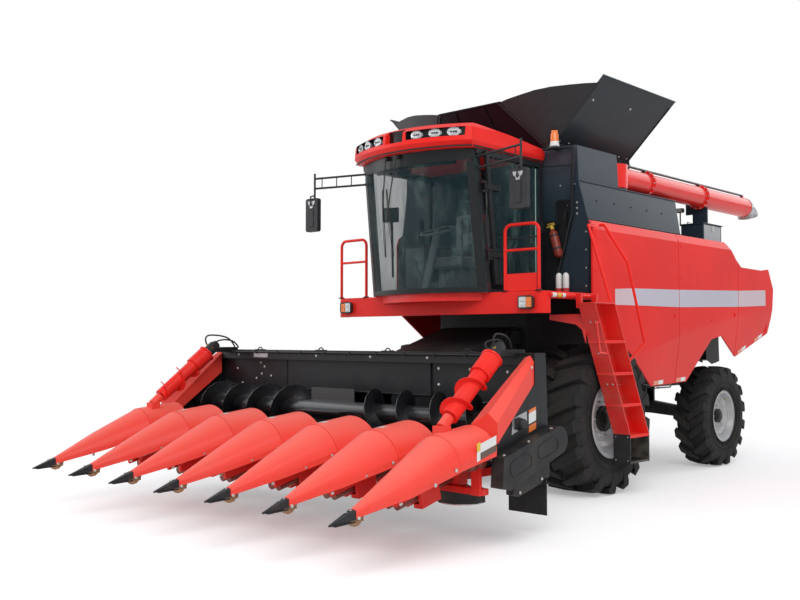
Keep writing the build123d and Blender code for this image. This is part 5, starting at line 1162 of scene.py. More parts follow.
class HARVESTER_OT_deck_fittings(bpy.types.Operator):
    """Head lamps, mirror glass, hoop plates, rail tapes, ladder bolts and tread grips"""

    bl_idname = "harvester.deck_fittings"
    bl_label = "Deck fittings"

    def head_lamps(self):
        """Rounded frames, reflector cells behind ribbed lenses, and flashers."""
        ring = []
        for x, z, first in LAMP_CELLS:
            for a in (math.radians(first + part) for part in (0, 30, 60, 90)):
                ring.append((x + 0.022 * math.cos(a), LAMP_Y - 0.003, z + 0.022 * math.sin(a)))
        for side, mirrored in SIDES:
            build("head_lamp_%s_frame" % side, "plastic", smooth=60, mirrored=mirrored,
                  bars=[(ring + ring[:2], 0.0075, 8)])
        blocks = [((1.31, LAMP_Y - 0.006, 2.148), (1.402, LAMP_Y + 0.002, 2.263))]
        blocks += [((x, LAMP_Y - 0.0085, 2.15), (x + 0.008, LAMP_Y - 0.005, 2.261))
                   for x in steps(1.312, 1.384, 4)]
        cells = [((1.356, LAMP_Y - 0.006, z), AHEAD, ((0, 0.024), (0.004, 0.024), (0.007, 0.014)), 20)
                 for z in (2.178, 2.233)]
        build_pair("head_lamp_SIDE_lens", "clear", bevel=0.001, blocks=blocks, lathes=cells)
        blocks = [((1.407, LAMP_Y - 0.007, 2.152), (1.476, LAMP_Y + 0.002, 2.259))]
        blocks += [((1.41, LAMP_Y - 0.0095, z), (1.473, LAMP_Y - 0.006, z + 0.007))
                   for z in steps(2.158, 2.243, 5)]
        build_pair("head_lamp_SIDE_flasher", "amber", bevel=0.001, blocks=blocks)

    def mirrors(self):
        """The mirrors' panes, and the clamps, ribs and braces on their backs and arms."""
        build_pair("mirror_glass_SIDE", "mirror", bevel=0.001,
                   blocks=[((1.505, -1.785, low), (1.695, -1.7825, high))
                           for low, high in ((3.18, 3.455), (3.47, 3.562))])
        half = ((0.065, 3.545), (0.055, 3.505), (0.03, 3.49), (0.022, 3.455))
        clamp = [(MIRROR_X + x, MIRROR_Y, z) for x, z in half]
        clamp += [(MIRROR_X - x, MIRROR_Y, z) for x, z in half[::-1]]
        build_pair("mirror_clamp_SIDE", "silver", bevel=0.001, plates=[(clamp, (0, -0.006, 0))])
        root, tip = Vector((0.945, -1.565, 0)), Vector((MIRROR_X, -1.79, 0))
        bars = [([(MIRROR_X, -1.862, 3.5), (MIRROR_X, -1.862, 3.6), (MIRROR_X, -1.8, 3.62)], 0.009)]
        bars += [([root.lerp(tip, share) + UP * z for z in (3.712, 3.833)], 0.007, 8)
                 for share in (0.25, 0.55, 0.85)]
        for name, mirrored in (("mirror_ribs_left", False), ("mirror_ribsright", True)):
            build(name, "plastic", bevel=0.003, mirrored=mirrored, bars=bars,
                  blocks=[((1.56, -1.85, 3.215), (1.64, MIRROR_Y, 3.44))],
                  lathes=[((MIRROR_X, -1.8515, 3.5), AHEAD, ((0, 0.02), (0.01, 0.02), (0.014, 0.014)), 16)])

    def hoops(self):
        """The plate, the bar and the bolted feet of the hoop rails, and the tapes on the tube behind."""
        build("hoop_plate", "red", bevel=0.003,
              blocks=[((1.1, -1.386, DECK_Z + 0.002), (1.505, -1.374, 2.522))])
        feet = [side * x for side in (1, -1) for x in HOOP_X]
        foot = ((0, 0.042), (0.008, 0.042), (0.012, 0.03), (0.016, 0.022))
        build("hoop_bars", "chassis_black",
              bars=[([(HOOP_X[0], -1.366, 2.905), (HOOP_X[1], -1.366, 2.915)], 0.009)],
              lathes=[((x, HOOP_Y, DECK_Z + 0.0005), UP, foot, 20) for x in feet])
        build("hoop_bolts", "zinc",
              bolts=[((x + dx, HOOP_Y, DECK_Z + 0.008), UP, 0.006) for x in feet for dx in (0.03, -0.03)])
        tube_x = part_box("platform")[1].x - 0.025
        for name, finish, spans in (("rail_tape_white", "white", ((-1.245, -1.165), (-1.055, -0.995))),
                                    ("rail_tape_yellow", "label_yellow", ((-1.14, -1.075),))):
            build(name, finish,
                  lathes=[((tube_x, start, 2.287), -AHEAD, ((0, 0.0258), (end - start, 0.0258)))
                          for start, end in spans])

    def ladder(self):
        """Raised grips and nosings on the treads, bolts, and the strapped rubber step."""
        out_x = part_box("ladder")[1].x
        in_x = out_x - 0.215
        low_y, rear_y = LOW_TREAD_Y, LOW_TREAD_Y + STEP_DEEP
        grips, bolts, straps = Shape(), Shape(), Shape()
        for n in range(4):
            y, z = -0.64 + STEP_RUN * (3 - n), LOW_TREAD_Z + n * STEP_RISE
            for x in steps(in_x + 0.035, in_x + 0.187, 4):
                for along in steps(y + 0.04, y + 0.392, 8):
                    grips.lathe((x, along, z), UP, ((0, 0.01), (0.003, 0.008), (0.003, 0.005)), 8)
            grips.block((out_x - 0.006, y + 0.012, z - 0.03), (out_x + 0.001, y + 0.418, z + 0.004))
        grips.piece("tread_grips", "red")
        for y, way in ((low_y, -1), (rear_y, 1)):
            for x in (in_x + 0.03, out_x - 0.03):
                for z in (STRAP_Z + 0.035, 0.69):
                    bolts.bolt((x, y, z), (0, way, 0), 0.008)
        for z in (1.995, 1.65, 1.3):
            y = low_y - (z - LOW_TREAD_Z) * STEP_RUN / STEP_RISE - 0.001
            bolts.row((out_x - 0.05, y, z), (out_x - 0.12, y, z), 2, (0, -1, -0.45), 0.008)
        for z in (1.28, 1.33):
            bolts.row((in_x + 0.0135, -0.02, z), (in_x + 0.0135, 0.03, z), 2, OUT, 0.007)
        bolts.piece("ladder_bolts", "zinc")
        for y in (low_y - 0.0045, rear_y):
            straps.block((in_x - 0.002, y, 0.385), (out_x + 0.002, y + 0.0045, 0.735))
        straps.block((in_x, low_y, STRAP_Z + 0.0255), (out_x, rear_y, STRAP_Z + 0.029))
        for y in steps(low_y + 0.02, low_y + 0.38, 9):
            straps.block((in_x + 0.01, y, STRAP_Z + 0.029), (out_x - 0.01, y + 0.012, STRAP_Z + 0.033))
        straps.piece("step_straps", "soft_black", bevel=0.0015)

    def execute(self, context):
        self.head_lamps()
        self.mirrors()
        self.hoops()
        self.ladder()
        build("deck_mats", "soft_black", bevel=0.001,
              blocks=[((x, y, DECK_Z), (x + 0.63, y + 0.085, DECK_Z + 0.0025))
                      for x in (0.93, -1.56) for y in steps(-1.3, -0.52, 6)])
        return {"FINISHED"}


# --------------------------------------------------------------------- header
HEADER_BACK = -2.64
ROW_PITCH = 0.762
END_X = 2.4
END_SKIN = END_X + 0.0005                # just proud of the end sheets
CROSS_Y, CROSS_Z = -2.96, 1.06
HOOD_FRONT, HOOD_LENGTH = -3.8997, 0.4797
CHOPPER_Y = -3.15
RAIL_X = 2.3
END_LABEL = (    # ink, cells of (front, rear, low, high)
    ("label_yellow", ((-3.69, -3.645, 0.08, 0.15),)),
    ("label_white", ((-3.69, -3.645, 0.0, 0.078), (-3.643, -3.43, 0.06, 0.135))),
    ("label_dark", ((-3.643, -3.43, 0.004, 0.058),)),
)
BACK_BOLTS = (    # x, z
    (1.1, 1.62), (1.2, 1.515), (1.2, 1.355), (1.2, 1.19), (1.6, 1.515), (1.6, 1.3), (2.05, 1.5),
    (-1.6, 1.53), (-1.53, 1.48), (-1.58, 1.396), (-1.68, 1.34), (-1.41, 1.375), (-1.47, 1.235),
              (-1.41, 1.22),
    (-1.15, 1.195), (-1.07, 1.19), (-1.575, 1.18), (-2.05, 1.45), (-1.95, 1.28), (0.3, 1.62), (-0.55, 1.62),
    (-1.95, 1.62),
)
CONE_BOLTS = ((-4.86, 0.045, 0.494), (-4.5, 0.133, 0.565), (-4.2, 0.224, 0.68), (-3.95, 0.296, 0.77))
CONE_HALF_AT_ENDS = 0.228
SKID = ((-4.945, 0.484), (-4.785, 0.512), (-4.79, 0.468), (-4.835, 0.424), (-4.885, 0.414), (-4.915, 0.436))
MOTOR_FOOT, MOTOR_HEAD = Vector((2.18, -3.64, 1.15)), Vector((2.16, -3.03, 1.63))
MOTOR_WAY = (MOTOR_HEAD - MOTOR_FOOT).normalized()      # along the left end auger's axis
HOSE_PORTS = ((-1.1, 0.1), (0.2, 0.13))    # turn round the motor in radians, rise of the hose
HOSE_THICK = 0.019


class HARVESTER_OT_header_fittings(bpy.types.Operator):
    """Bolts, plates, lifting loops, labels and drive covers of the maize header"""

    bl_idname = "harvester.header_fittings"
    bl_label = "Header fittings"

    def back(self):
        """Bolts, loops, clips, folds and the blank plate of the back sheet and its beam."""
        bolts = Shape()
        case_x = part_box("drive_cases")[1].x
        for x, z in BACK_BOLTS:
            bolts.bolt((x, HEADER_BACK if z < 1.57 else HEADER_BACK - 0.06, z), AHEAD, 0.01)
        for x in (1, -1):
            out, skin = (x, 0, 0), x * (END_X + 0.0002)
            bolts.row((skin, -2.75, 1.55), (skin, -3.3, 0.99), 4, out, 0.01)
            bolts.row((x * END_X, -3.33, 0.78), (x * END_X, -3.33, 0.9), 2, out, 0.01)
            bolts.row((x * (case_x - 0.052), -3.05, 0.475), (x * (case_x - 0.052), -2.72, 0.56), 2, out,
                      0.009)
            for along, up in ((-3.29, 0.815), (-2.93, 0.905), (-2.58, 0.995)):
                bolts.bolt((x * (case_x - 0.045), along, up + 0.002), (0, -0.247, 0.969), 0.011)
        bolts.piece("header_bolts", "zinc", "header")
        loops = Shape()
        for x in (-1.588, -0.517, 0.517, 1.588):
            start, end = Vector((x - 0.05, -2.66, 1.676)), Vector((x + 0.05, -2.66, 1.676))
            arch = [start.lerp(end, n / 14) + UP * 0.036 * math.sin(math.pi * n / 14) for n in range(15)]
            loops.bar(arch, 0.007, 8)
            loops.block((x - 0.075, -2.685, 1.6795), (x + 0.075, -2.635, 1.688))
        loops.bar([(-2.1, -2.712, 1.655), (2.1, -2.712, 1.655)], 0.013, 8)
        for x in steps(-2.0, 2.0, 10):
            loops.block((x - 0.012, -2.73, 1.64), (x + 0.012, -2.699, 1.67))
        loops.piece("lifting_loops", "header_black", "header", 0.001)
        face = HEADER_BACK - 0.01
        folds = [((-1.108, face - 0.012, 1.572), (1.108, face + 0.002, 1.584)),
                 ((-1.108, face - 0.022, 1.24), (1.108, face, 1.252))]
        folds += [((x - 0.004, face - 0.01, 1.25), (x + 0.004, face, 1.58)) for x in (-1.104, 1.104)]
        beads = [([(x * 1.25, HEADER_BACK - 0.004, 1.1), (x * 2.3, HEADER_BACK - 0.004, 1.3)], 0.01, 6)
                 for x in (1, -1)]
        build("deflector_folds", "slate_dark", "header", 0.002, blocks=folds, bars=beads)
        build("beam_plate", "galvanised", "header", 0.001,
              blocks=[((-1.66, -2.7035, 1.592), (-1.4, -2.6995, 1.652))],
              rows=[((-1.645, -2.7035, 1.622), (-1.415, -2.7035, 1.622), 2, AHEAD, 0.005)])

    def hood_plates(self):
        """A blank plate on the crown of each hood, towards its left."""
        plates = Shape()
        for k in range(-2, 3):
            rows = []
            for y in (-3.809, -3.741):
                share = (y - HOOD_FRONT) / HOOD_LENGTH
                half, edge, top = 0.314 + 0.016 * share, 0.797 + 0.108 * share, 1.018 + 0.052 * share
                radius = (half * half + (top - edge) ** 2) / (2 * (top - edge))
                rows.append([(k * ROW_PITCH + x, y,
                              top - radius + math.sqrt(radius * radius - x * x) + 0.0022)
                             for x in (-0.13, -0.05, 0.03)])
            plates.grid(rows, 0.0015)
        plates.piece("hood_plates", "white", "header")

    def dividers(self):
        """Bolts along the cones and a bent skid under each tip."""
        bolts, skids = Shape(), Shape()
        for k in range(-3, 4):
            x = k * ROW_PITCH
            for side in (1, -1):
                for y, half, edge in CONE_BOLTS:
                    half = min(half, CONE_HALF_AT_ENDS) if k == 3 * side else half
                    bolts.bolt((x + side * half, y, edge - 0.012), (side, 0, 0.05), 0.011)
            bolts.row((x, -4.905, 0.537), (x, -4.955, 0.53), 2, (0, -0.15, 1), 0.007)
            skids.plate([(x - 0.026, y, z) for y, z in SKID], (0.052, 0, 0))
        bolts.piece("divider_bolts", "zinc", "header")
        skids.piece("tip_skids", "bronze", "header", 0.004)

    def ends(self):
        """Blank labels, shaft covers and rails on the header's two ends."""
        for ink, cells in END_LABEL:
            cards = []
            for y0, y1, low, high in cells:
                corners = ((y0, low), (y1, low), (y1, high), (y0, high))
                cards.append(([(2.5155, y, 0.8 + 0.25 * (y + 3.69) + up) for y, up in corners],
                              (0.0015, 0, 0)))
            build_pair("end_label_SIDE_" + ink, ink, "header", plates=cards)
        front, rear = -2.8, -2.69
        rims = [((front, z0 - 0.015), (rear, z0 + 0.015), (rear, z1 + 0.015), (front, z1 - 0.015))
                for z0, z1 in ((1.155, 1.185), (0.985, 1.045))]
        card = ((front, 1.045), (rear, 1.075), (rear, 1.185), (front, 1.155))
        sheet = ((-3.06, 0.965), (-2.83, 1.045), (-2.835, 1.165), (-3.045, 1.11))
        for part, finish, outlines, thick, bevel in (("plate", "galvanised", (sheet,), 0.004, 0.001),
                                                     ("label", "label_white", (card,), 0.002, 0.0),
                                                     ("label_rim", "label_orange", rims, 0.0022, 0.0)):
            plates = [([(END_SKIN, y, z) for y, z in outline], (thick, 0, 0)) for outline in outlines]
            build_pair("shaft_cover_SIDE_" + part, finish, "header", bevel, plates=plates)
        at = END_X + 0.0045
        knob = ((0, 0.058), (0.012, 0.058), (0.018, 0.05), (0.06, 0.047), (0.072, 0.036))
        build_pair("shaft_cover_SIDE_knob", "plastic", "header",
                   lathes=[((at, CROSS_Y, CROSS_Z), OUT, knob, 28)],
                   bolts=[((at, CROSS_Y + 0.074 * c, CROSS_Z + 0.052 * s), OUT, 0.008)
                          for c, s in turns(4, math.pi / 4)])
        rail = ((-3.96, 0.64), (-3.96, 0.7), (-3.23, 0.88), (-3.23, 0.8))
        build_pair("end_rail_SIDE", "red_brown", "header", 0.003,
                   plates=[([(RAIL_X, y, z) for y, z in rail], (0.06, 0, 0))],
                   blocks=(((2.292, -3.6, 0.7), (2.372, -3.5, 0.8)),
                           ((2.292, -3.33, 0.77), (2.372, -3.24, 0.89))),
                   lathes=[((2.33, -3.44, 0.77), OUT, ((0, 0.06), (0.05, 0.06), (0.06, 0.045)))])

    def execute(self, context):
        self.back()
        self.hood_plates()
        self.dividers()
        self.ends()
        rims = Shape()
        rim = ((0, 0.205), (0.004, 0.2165), (0.01, 0.2185), (0.016, 0.2165))
        dome = ((0, 0.12), (0.012, 0.115), (0.02, 0.09), (0.04, 0.06))
        for x in steps(-2.5 * ROW_PITCH, 2.5 * ROW_PITCH, 5):
            rims.lathe((x, CHOPPER_Y, 0.3405), UP, rim, 48)
            rims.lathe((x, CHOPPER_Y, 0.46), UP, dome, 32)
            for c, s in turns(3, 0.4):
                rims.bolt((x + 0.16 * c, CHOPPER_Y + 0.16 * s, 0.46), UP, 0.012)
        rims.piece("chopper_rims", "rod", "header")
        return {"FINISHED"}


def port_way(turn):
    """The way a port looks out of a motor: up and across its axis."""
    up = (UP - MOTOR_WAY * UP.dot(MOTOR_WAY)).normalized()
    return up * math.cos(turn) + MOTOR_WAY.cross(up) * math.sin(turn)


def hose(name, sign, turn, rise, end):
    """A stiff hose from a motor's port over to the beam."""
    out = port_way(turn)
    start = MOTOR_HEAD + MOTOR_WAY * 0.085 + out * 0.078
    route = [start, start + out * (0.6 * rise) + UP * (0.4 * rise), start.lerp(end, 0.45) + UP * rise,
             start.lerp(end, 0.8) + Vector((0, 0.03, rise * 0.72)), end]
    curve = bpy.data.curves.new(name, "CURVE")
    curve.dimensions = "3D"
    curve.bevel_depth = HOSE_THICK / 2
    curve.bevel_resolution = 3
    curve.resolution_u = 12
    curve.materials.append(finishes()["soft_black"])
    spline = curve.splines.new("NURBS")
    spline.points.add(len(route) - 1)
    for point, at in zip(spline.points, route):
        point.co = (sign * at.x, at.y + AXLE_Y, at.z, 1.0)
    spline.order_u = 3
    spline.use_endpoint_u = True
    made = bpy.data.objects.new(name, curve)
    bpy.context.scene.collection.objects.link(made)
    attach(made, "header")
    run = sum((b - a).length for a, b in zip(route, route[1:]))
    start.y + AXLE_Y


class HARVESTER_OT_end_motors(bpy.types.Operator):
    """The hydraulic motors on top of the end augers, with their looped hoses"""

    bl_idname = "harvester.end_motors"
    bl_label = "End auger motors"

    def execute(self, context):
        head, way = MOTOR_HEAD, MOTOR_WAY
        out = side_way(way)
        over = way.cross(out)
        body = ((0, 0.074), (0.01, 0.074), (0.012, 0.062), (0.15, 0.062), (0.156, 0.058), (0.158, 0.05),
                (0.185, 0.048), (0.19, 0.04))
        studs = [([head + way * along + (out * c + over * s) * 0.066 for along in (0.012, 0.158)], 0.007, 8)
                 for c, s in turns(4, math.pi / 4)]
        build_pair("end_motor_SIDE", "plastic", "header", lathes=[(head + way * 0.008, way, body, 32)],
                   bars=studs)
        collar = ((0, 0.098), (0.01, 0.104), (0.016, 0.104), (0.02, 0.09))
        build_pair("end_motor_SIDE_collar", "red", "header", lathes=[(head - way * 0.006, way, collar, 40)])
        union = ((0, 0.014), (0.012, 0.014), (0.014, 0.011), (0.03, 0.011))
        build_pair("end_motor_SIDE_unions", "brass", "header",
                   lathes=[(head + way * 0.085 + port_way(turn) * 0.052, port_way(turn), union, 6)
                           for turn, _rise in HOSE_PORTS])
        for side, sign in (("left", 1), ("right", -1)):
            for n, (turn, rise) in enumerate(HOSE_PORTS):
                hose("end_hose_%s_%d" % (side, n + 1), sign, turn, rise,
                     Vector((2.03 + 0.07 * n, -2.645, 1.705)))
        return {"FINISHED"}


# ----------------------------------------------------- wheels, auger and rear
WHEELS = (    # kind, centre, disc, nut ring, nuts, cap place, cap radius, body under the cap, valve's turn
    ("drive", Vector((1.24, 0.0, 0.875)), 0.219, 0.205, 10, 0.255, 0.15, "chassis", 2.2),
    ("rear", Vector((1.215, 3.35, 0.708)), 0.094, 0.15, 8, 0.13, 0.095, "knuckle_SIDE", 0.9),
)
TYRES = (    # kind, centre x and y, radius, width, rim radius, bars, bar height
    ("drive", 1.24, 0.0, 0.875, 0.77, 0.43, 17, 0.062),
    ("rear", 1.215, 3.35, 0.708, 0.45, 0.34, 16, 0.048),
)
BAR_LEAN = 0.6          # how far a bar's foot lags behind its crown, in pitches
BEAD_RINGS = ((0.1, 0.925, 0.008), (0.22, 0.955, 0.005), (0.4, 0.985, 0.004), (0.47, 0.995, 0.003))
AUGER_X, AUGER_Z, TUBE_R = 1.2, 3.845, 0.1415
DECK_TOP = 3.0605
HOOD_LEAN = -0.142       # the rear hood's back leans forward, in radians
RAIL_PIPES = 0.7        # the pipes' distance from the middle, along the chassis rails
TANK_X, TANK_Z = 0.78, 1.035


class HARVESTER_OT_wheel_fittings(bpy.types.Operator):
    """Wheel nuts, pressed steps, hub covers and valves"""

    bl_idname = "harvester.wheel_fittings"
    bl_label = "Wheel fittings"

    def execute(self, context):
        for kind, centre, disc, ring_r, nuts, hub_x, hub_r, holder, turn in WHEELS:
            wheel = kind + "_wheel_SIDE"

            def on_disc(proud, radius, c, s):
                return centre + Vector((proud, radius * c, radius * s))

            lathes = []
            for c, s in turns(nuts):
                at = on_disc(disc, ring_r, c, s)
                lathes += [(at, OUT, ((-0.001, 0.021), (0.004, 0.021), (0.0045, 0.017)), 16),
                           (at, OUT, ((0.004, 0.0155), (0.017, 0.0155), (0.02, 0.012)), 6),
                           (at, OUT, ((0.018, 0.008), (0.032, 0.008), (0.034, 0.006)), 12)]
            build_pair(wheel + "_nuts", "zinc", wheel, lathes=lathes)
            # pressed steps in the disc round the nuts
            rings = [([on_disc(disc + 0.001, radius, math.cos(a), math.sin(a))
                       for a in steps(0, math.tau, 48)], 0.004, 6)
                     for radius in (ring_r + 0.05, ring_r + 0.075)]
            build_pair(wheel + "_steps", "silver", wheel, bars=rings)
            cap = [(along, hub_r * share) for along, share in (
                (-0.002, 0.72), (0.01, 0.72), (0.014, 0.66), (0.03, 0.4), (0.034, 0.34))]
            build_pair(wheel + "_hub_cap", "chassis_black", holder,
                       lathes=[(centre + OUT * hub_x, OUT, cap, 32)],
                       bolts=[(on_disc(hub_x + 0.001, hub_r * 0.86, c, s), OUT, 0.0085)
                              for c, s in turns(6, math.pi / 6)])
            stem = ((0, 0.014), (0.006, 0.014), (0.008, 0.006), (0.045, 0.006), (0.046, 0.009),
                    (0.062, 0.009))
            root = on_disc(disc + 0.002, ring_r + 0.135, math.cos(turn), math.sin(turn))
            build_pair(wheel + "_valve", "brass", wheel, lathes=[(root, OUT, stem, 12)])
        return {"FINISHED"}


class HARVESTER_OT_tyre_shoulders(bpy.types.Operator):
    """The bars' feet on the sidewalls and the rings moulded round the beads"""

    bl_idname = "harvester.tyre_shoulders"
    bl_label = "Tyre shoulders"

    def tyre(self, wheel, mirrored, x, y, radius, width, rim_r, lugs, lug_h):
        """Both sidewalls of one tyre."""
        half, wall, pitch = width / 2, radius - lug_h - rim_r, math.tau / lugs
        foot = ((1.0 + lug_h * 0.45 / wall, 0.955, 0.4), (0.97, 0.985, 0.4), (0.78, 1.006, 0.34),
                (0.55, 1.004, 0.22))

        def on_wall(out, up, across, angle):
            reach = rim_r + wall * up
            return x + out * half * across, y - reach * math.sin(angle), radius + reach * math.cos(angle)

        feet, rings = [], []
        for out in (1, -1):
            for n in range(lugs):
                turn = n * pitch + (0.0 if out > 0 else pitch / 2)
                rows = [[on_wall(out, up, across, turn - (BAR_LEAN + edge * share) * pitch)
                         for edge in (-0.5, 0.5)] for up, across, share in foot]
                feet.append((rows, 0.016))
            for up, across, thick in BEAD_RINGS:
                ring = [on_wall(out, up, across, a - math.pi / 2) for a in steps(0, math.tau, 64)]
                rings.append((ring, thick, 6))
        build(wheel + "_bar_feet", "rubber", wheel, smooth=60, mirrored=mirrored, grids=feet)
        build(wheel + "_bead_rings", "rubber", wheel, smooth=60, mirrored=mirrored, bars=rings)

    def execute(self, context):
        for kind, *sizes in TYRES:
            for side, mirrored in SIDES:
                self.tyre("%s_wheel_%s" % (kind, side), mirrored, *sizes)
        return {"FINISHED"}


class HARVESTER_OT_auger_fittings(bpy.types.Operator):
    """Flange bolts and the blank label of the unloading auger"""

    bl_idname = "harvester.auger_fittings"
    bl_label = "Auger fittings"

    def execute(self, context):
        bolts = [((AUGER_X + 0.163 * c, y + way * 0.0125, AUGER_Z + 0.163 * s), (0, way, 0), 0.008)
                 for y in (1.5, 3.08) for c, s in turns(14) for way in (-1, 1)]
        build("auger_flange_bolts", "zinc", "unloading_auger", bolts=bolts)
        for name, finish, half, spans in (("auger_label", "label_white", 0.095, ((-0.045, 0.045),)),
                                          ("auger_label_rim", "label_orange", 0.115,
                                           ((-0.062, -0.04), (0.04, 0.062)))):
            cards = []
            for low, high in spans:
                rows = [[(AUGER_X + TUBE_R * math.cos(up / 0.14), 4.19 + y,
                          AUGER_Z + TUBE_R * math.sin(up / 0.14))
                         for y in (-half, 0, half)] for up in steps(low, high, 6)]
                cards.append((rows, 0.0012))
            build(name, finish, "unloading_auger", grids=cards)
        return {"FINISHED"}


class HARVESTER_OT_rear_fittings(bpy.types.Operator):
    """Engine deck louvres, tail lamps, hood handles, the guard behind the wheels and the chassis pipes"""

    bl_idname = "harvester.rear_fittings"
    bl_label = "Rear fittings"

    def deck(self):
        """The louvred screen over the engine, the exhaust and two low rails."""
        top = DECK_TOP
        louvres = [((-0.9, 2.12, top), (0.9, 3.32, top + 0.03))]
        louvres += [((x, 2.17 + n * 0.051, top + 0.03), (x + 0.84, 2.2 + n * 0.051, top + 0.042), 0.25)
                    for n in range(22) for x in (-0.86, 0.02)]
        build("deck_louvres", "chassis_black", bevel=0.002, blocks=louvres)
        stub = ((0, 0.085), (0.01, 0.085), (0.012, 0.062), (0.3, 0.062), (0.302, 0.066), (0.325, 0.066),
                (0.326, 0.058))
        build("exhaust_stub", "iron", lathes=[((-1.15, 2.45, top), UP, stub, 28)],
              bars=[([(-1.15, 2.8, top + 0.045), (-1.15, 3.25, top + 0.045)], 0.04, 16)])
        path = ((2.1, 0.001), (2.1, 0.1), (3.3, 0.1), (3.3, 0.001))
        build("deck_rails", "chassis_black",
              bars=[([(x, y, top + z) for y, z in path], 0.013) for x in (-1.46, 1.0)])

    def hood(self):
        """Tail lamps, ribs, handle and seams of the rear hood."""
        for name, finish, bevel, x0, y0, z0, x1, y1 in (
            ("tail_lamp_cases", "plastic", 0.004, -0.15, -0.012, 0.065, 0.15, 0.016),
            ("tail_lamps", "tail_red", 0.003, -0.14, 0.01, 0.055, 0.02, 0.024),
            ("tail_flashers", "amber", 0.003, 0.028, 0.01, 0.055, 0.14, 0.024),
        ):
            build(name, finish, bevel=bevel,
                  blocks=[(*spread((x, 4.765, 2.455), ((x0, y0, -z0), (x1, y1, z0))), HOOD_LEAN)
                          for x in (1.22, -1.22)])
        handle = [(-0.3, 4.745, 2.33), (-0.3, 4.795, 2.33), (0.3, 4.795, 2.33), (0.3, 4.745, 2.33)]
        build("hood_ribs", "red", bevel=0.003, bars=[(handle, 0.012)],
              blocks=[((x - 0.014, 4.744, 2.2), (x + 0.014, 4.762, 2.53), HOOD_LEAN)
                      for x in steps(-0.9, 0.9, 4)])
        seams = [[(x - 0.004, 3.56, 2.8695), (x + 0.004, 3.56, 2.8695), (x + 0.004, 4.38, 2.8035),
                  (x - 0.004, 4.38, 2.8035)] for x in (-0.5, 0.5)]
        build("hood_seams", "chassis_black", plates=[(seam, (0, 0, 0.003)) for seam in seams])

    def guards(self):
        """Folded guards behind the rear wheels, with their stays."""
        guards = Shape()
        outline = ((3.64, 1.88), (4.1, 1.88), (4.12, 1.47), (3.86, 1.43), (3.68, 1.5))
        for x in (1.0, -1.0):
            guards.plate([(x, y, z) for y, z in outline], (0.006, 0, 0))
            guards.plate([(x - 0.16, 3.64, 1.88), (x + 0.006, 3.64, 1.88), (x + 0.006, 3.68, 1.5),
                          (x - 0.16, 3.68, 1.5)],
                         (0, 0.006, 0))
            guards.bar([(x, 3.95, 1.78), (x * 0.7, 4.05, 1.84)], 0.018)
            guards.bar([(x, 3.8, 1.6), (x * 0.7, 3.9, 1.7)], 0.018)
            guards.row((x + 0.007, 3.72, 1.82), (x + 0.007, 4.04, 1.82), 3, OUT, 0.009)
        guards.piece("wheel_guards", "chassis_black", bevel=0.001)

    def pipes(self):
        """Pipes with unions along the chassis rails, their clips, and a reservoir under each rail."""
        bright, dark, unions = Shape(), Shape(), Shape()
        reservoir = ((0, 0.03), (0.02, 0.075), (0.04, 0.085), (0.5, 0.085), (0.52, 0.075), (0.54, 0.03))
        for side in (1, -1):
            rail = side * RAIL_PIPES
            for shape, z in ((dark, 1.215), (bright, 1.185), (dark, 1.155)):
                shape.bar([(rail, 0.35, z), (rail, 2.3, z), (side * 0.72, 2.55, z - 0.05),
                           (side * 0.72, 3.1, z - 0.05), (side * 0.69, 3.2, z)], 0.009, 8)
                for y, drop in ((0.7, 0), (1.4, 0), (2.1, 0), (2.75, 0.05)):
                    unions.bar([(rail, y, z - drop), (rail, y + 0.035, z - drop)], 0.014, 6)
            for y in (0.92, 1.9):
                dark.block((rail - 0.02, y, 1.13), (rail + 0.02, y + 0.04, 1.235))
            bright.lathe((side * TANK_X, 1.45, TANK_Z), -AHEAD, reservoir)
            for y in (1.56, 1.86):
                dark.lathe((side * TANK_X, y, TANK_Z), -AHEAD, ((0, 0.089), (0.03, 0.089)))
                dark.bar([(side * TANK_X, y + 0.015, 1.1), (side * 0.69, y + 0.015, 1.2)], 0.012)
            for y in (1.6, 2.35):
                dark.bar([(side * 0.66, y, 1.119), (side * 0.66, y, 1.06), (side * 0.5, y, 1.05)], 0.012)
        bright.piece("chassis_pipes", "steel")
        dark.piece("chassis_hoses", "soft_black")
        unions.piece("chassis_unions", "brass")

    def execute(self, context):
        self.deck()
        self.hood()
        self.guards()
        self.pipes()
        build("rest_side_sheet", "galvanised", bevel=0.001,
              blocks=[((1.4005, 2.83, 3.075), (1.4035, 3.35, 3.415))])
        hasp = [(1.12, 2.9, 3.441), (1.12, 2.9, 3.475), (1.12, 3.02, 3.475), (1.12, 3.02, 3.441)]
        build("rest_latches", "zinc", blocks=[((1.403, 3.06, 3.33), (1.415, 3.12, 3.41))],
              bars=[(hasp, 0.008)],
              rows=[((1.404, 2.86, 3.1), (1.404, 3.32, 3.1), 4, OUT, 0.007)])
        build("work_lamp", "plastic", bevel=0.003, blocks=[((1.03, 2.72, 3.6), (1.13, 2.79, 3.66))],
              bars=[([(1.08, 2.795, 3.42), (1.08, 2.76, 3.42), (1.08, 2.76, 3.6)], 0.01)])
        build("work_lamp_glass", "clear", bevel=0.001, blocks=[((1.04, 2.715, 3.61), (1.12, 2.722, 3.65))])
        return {"FINISHED"}


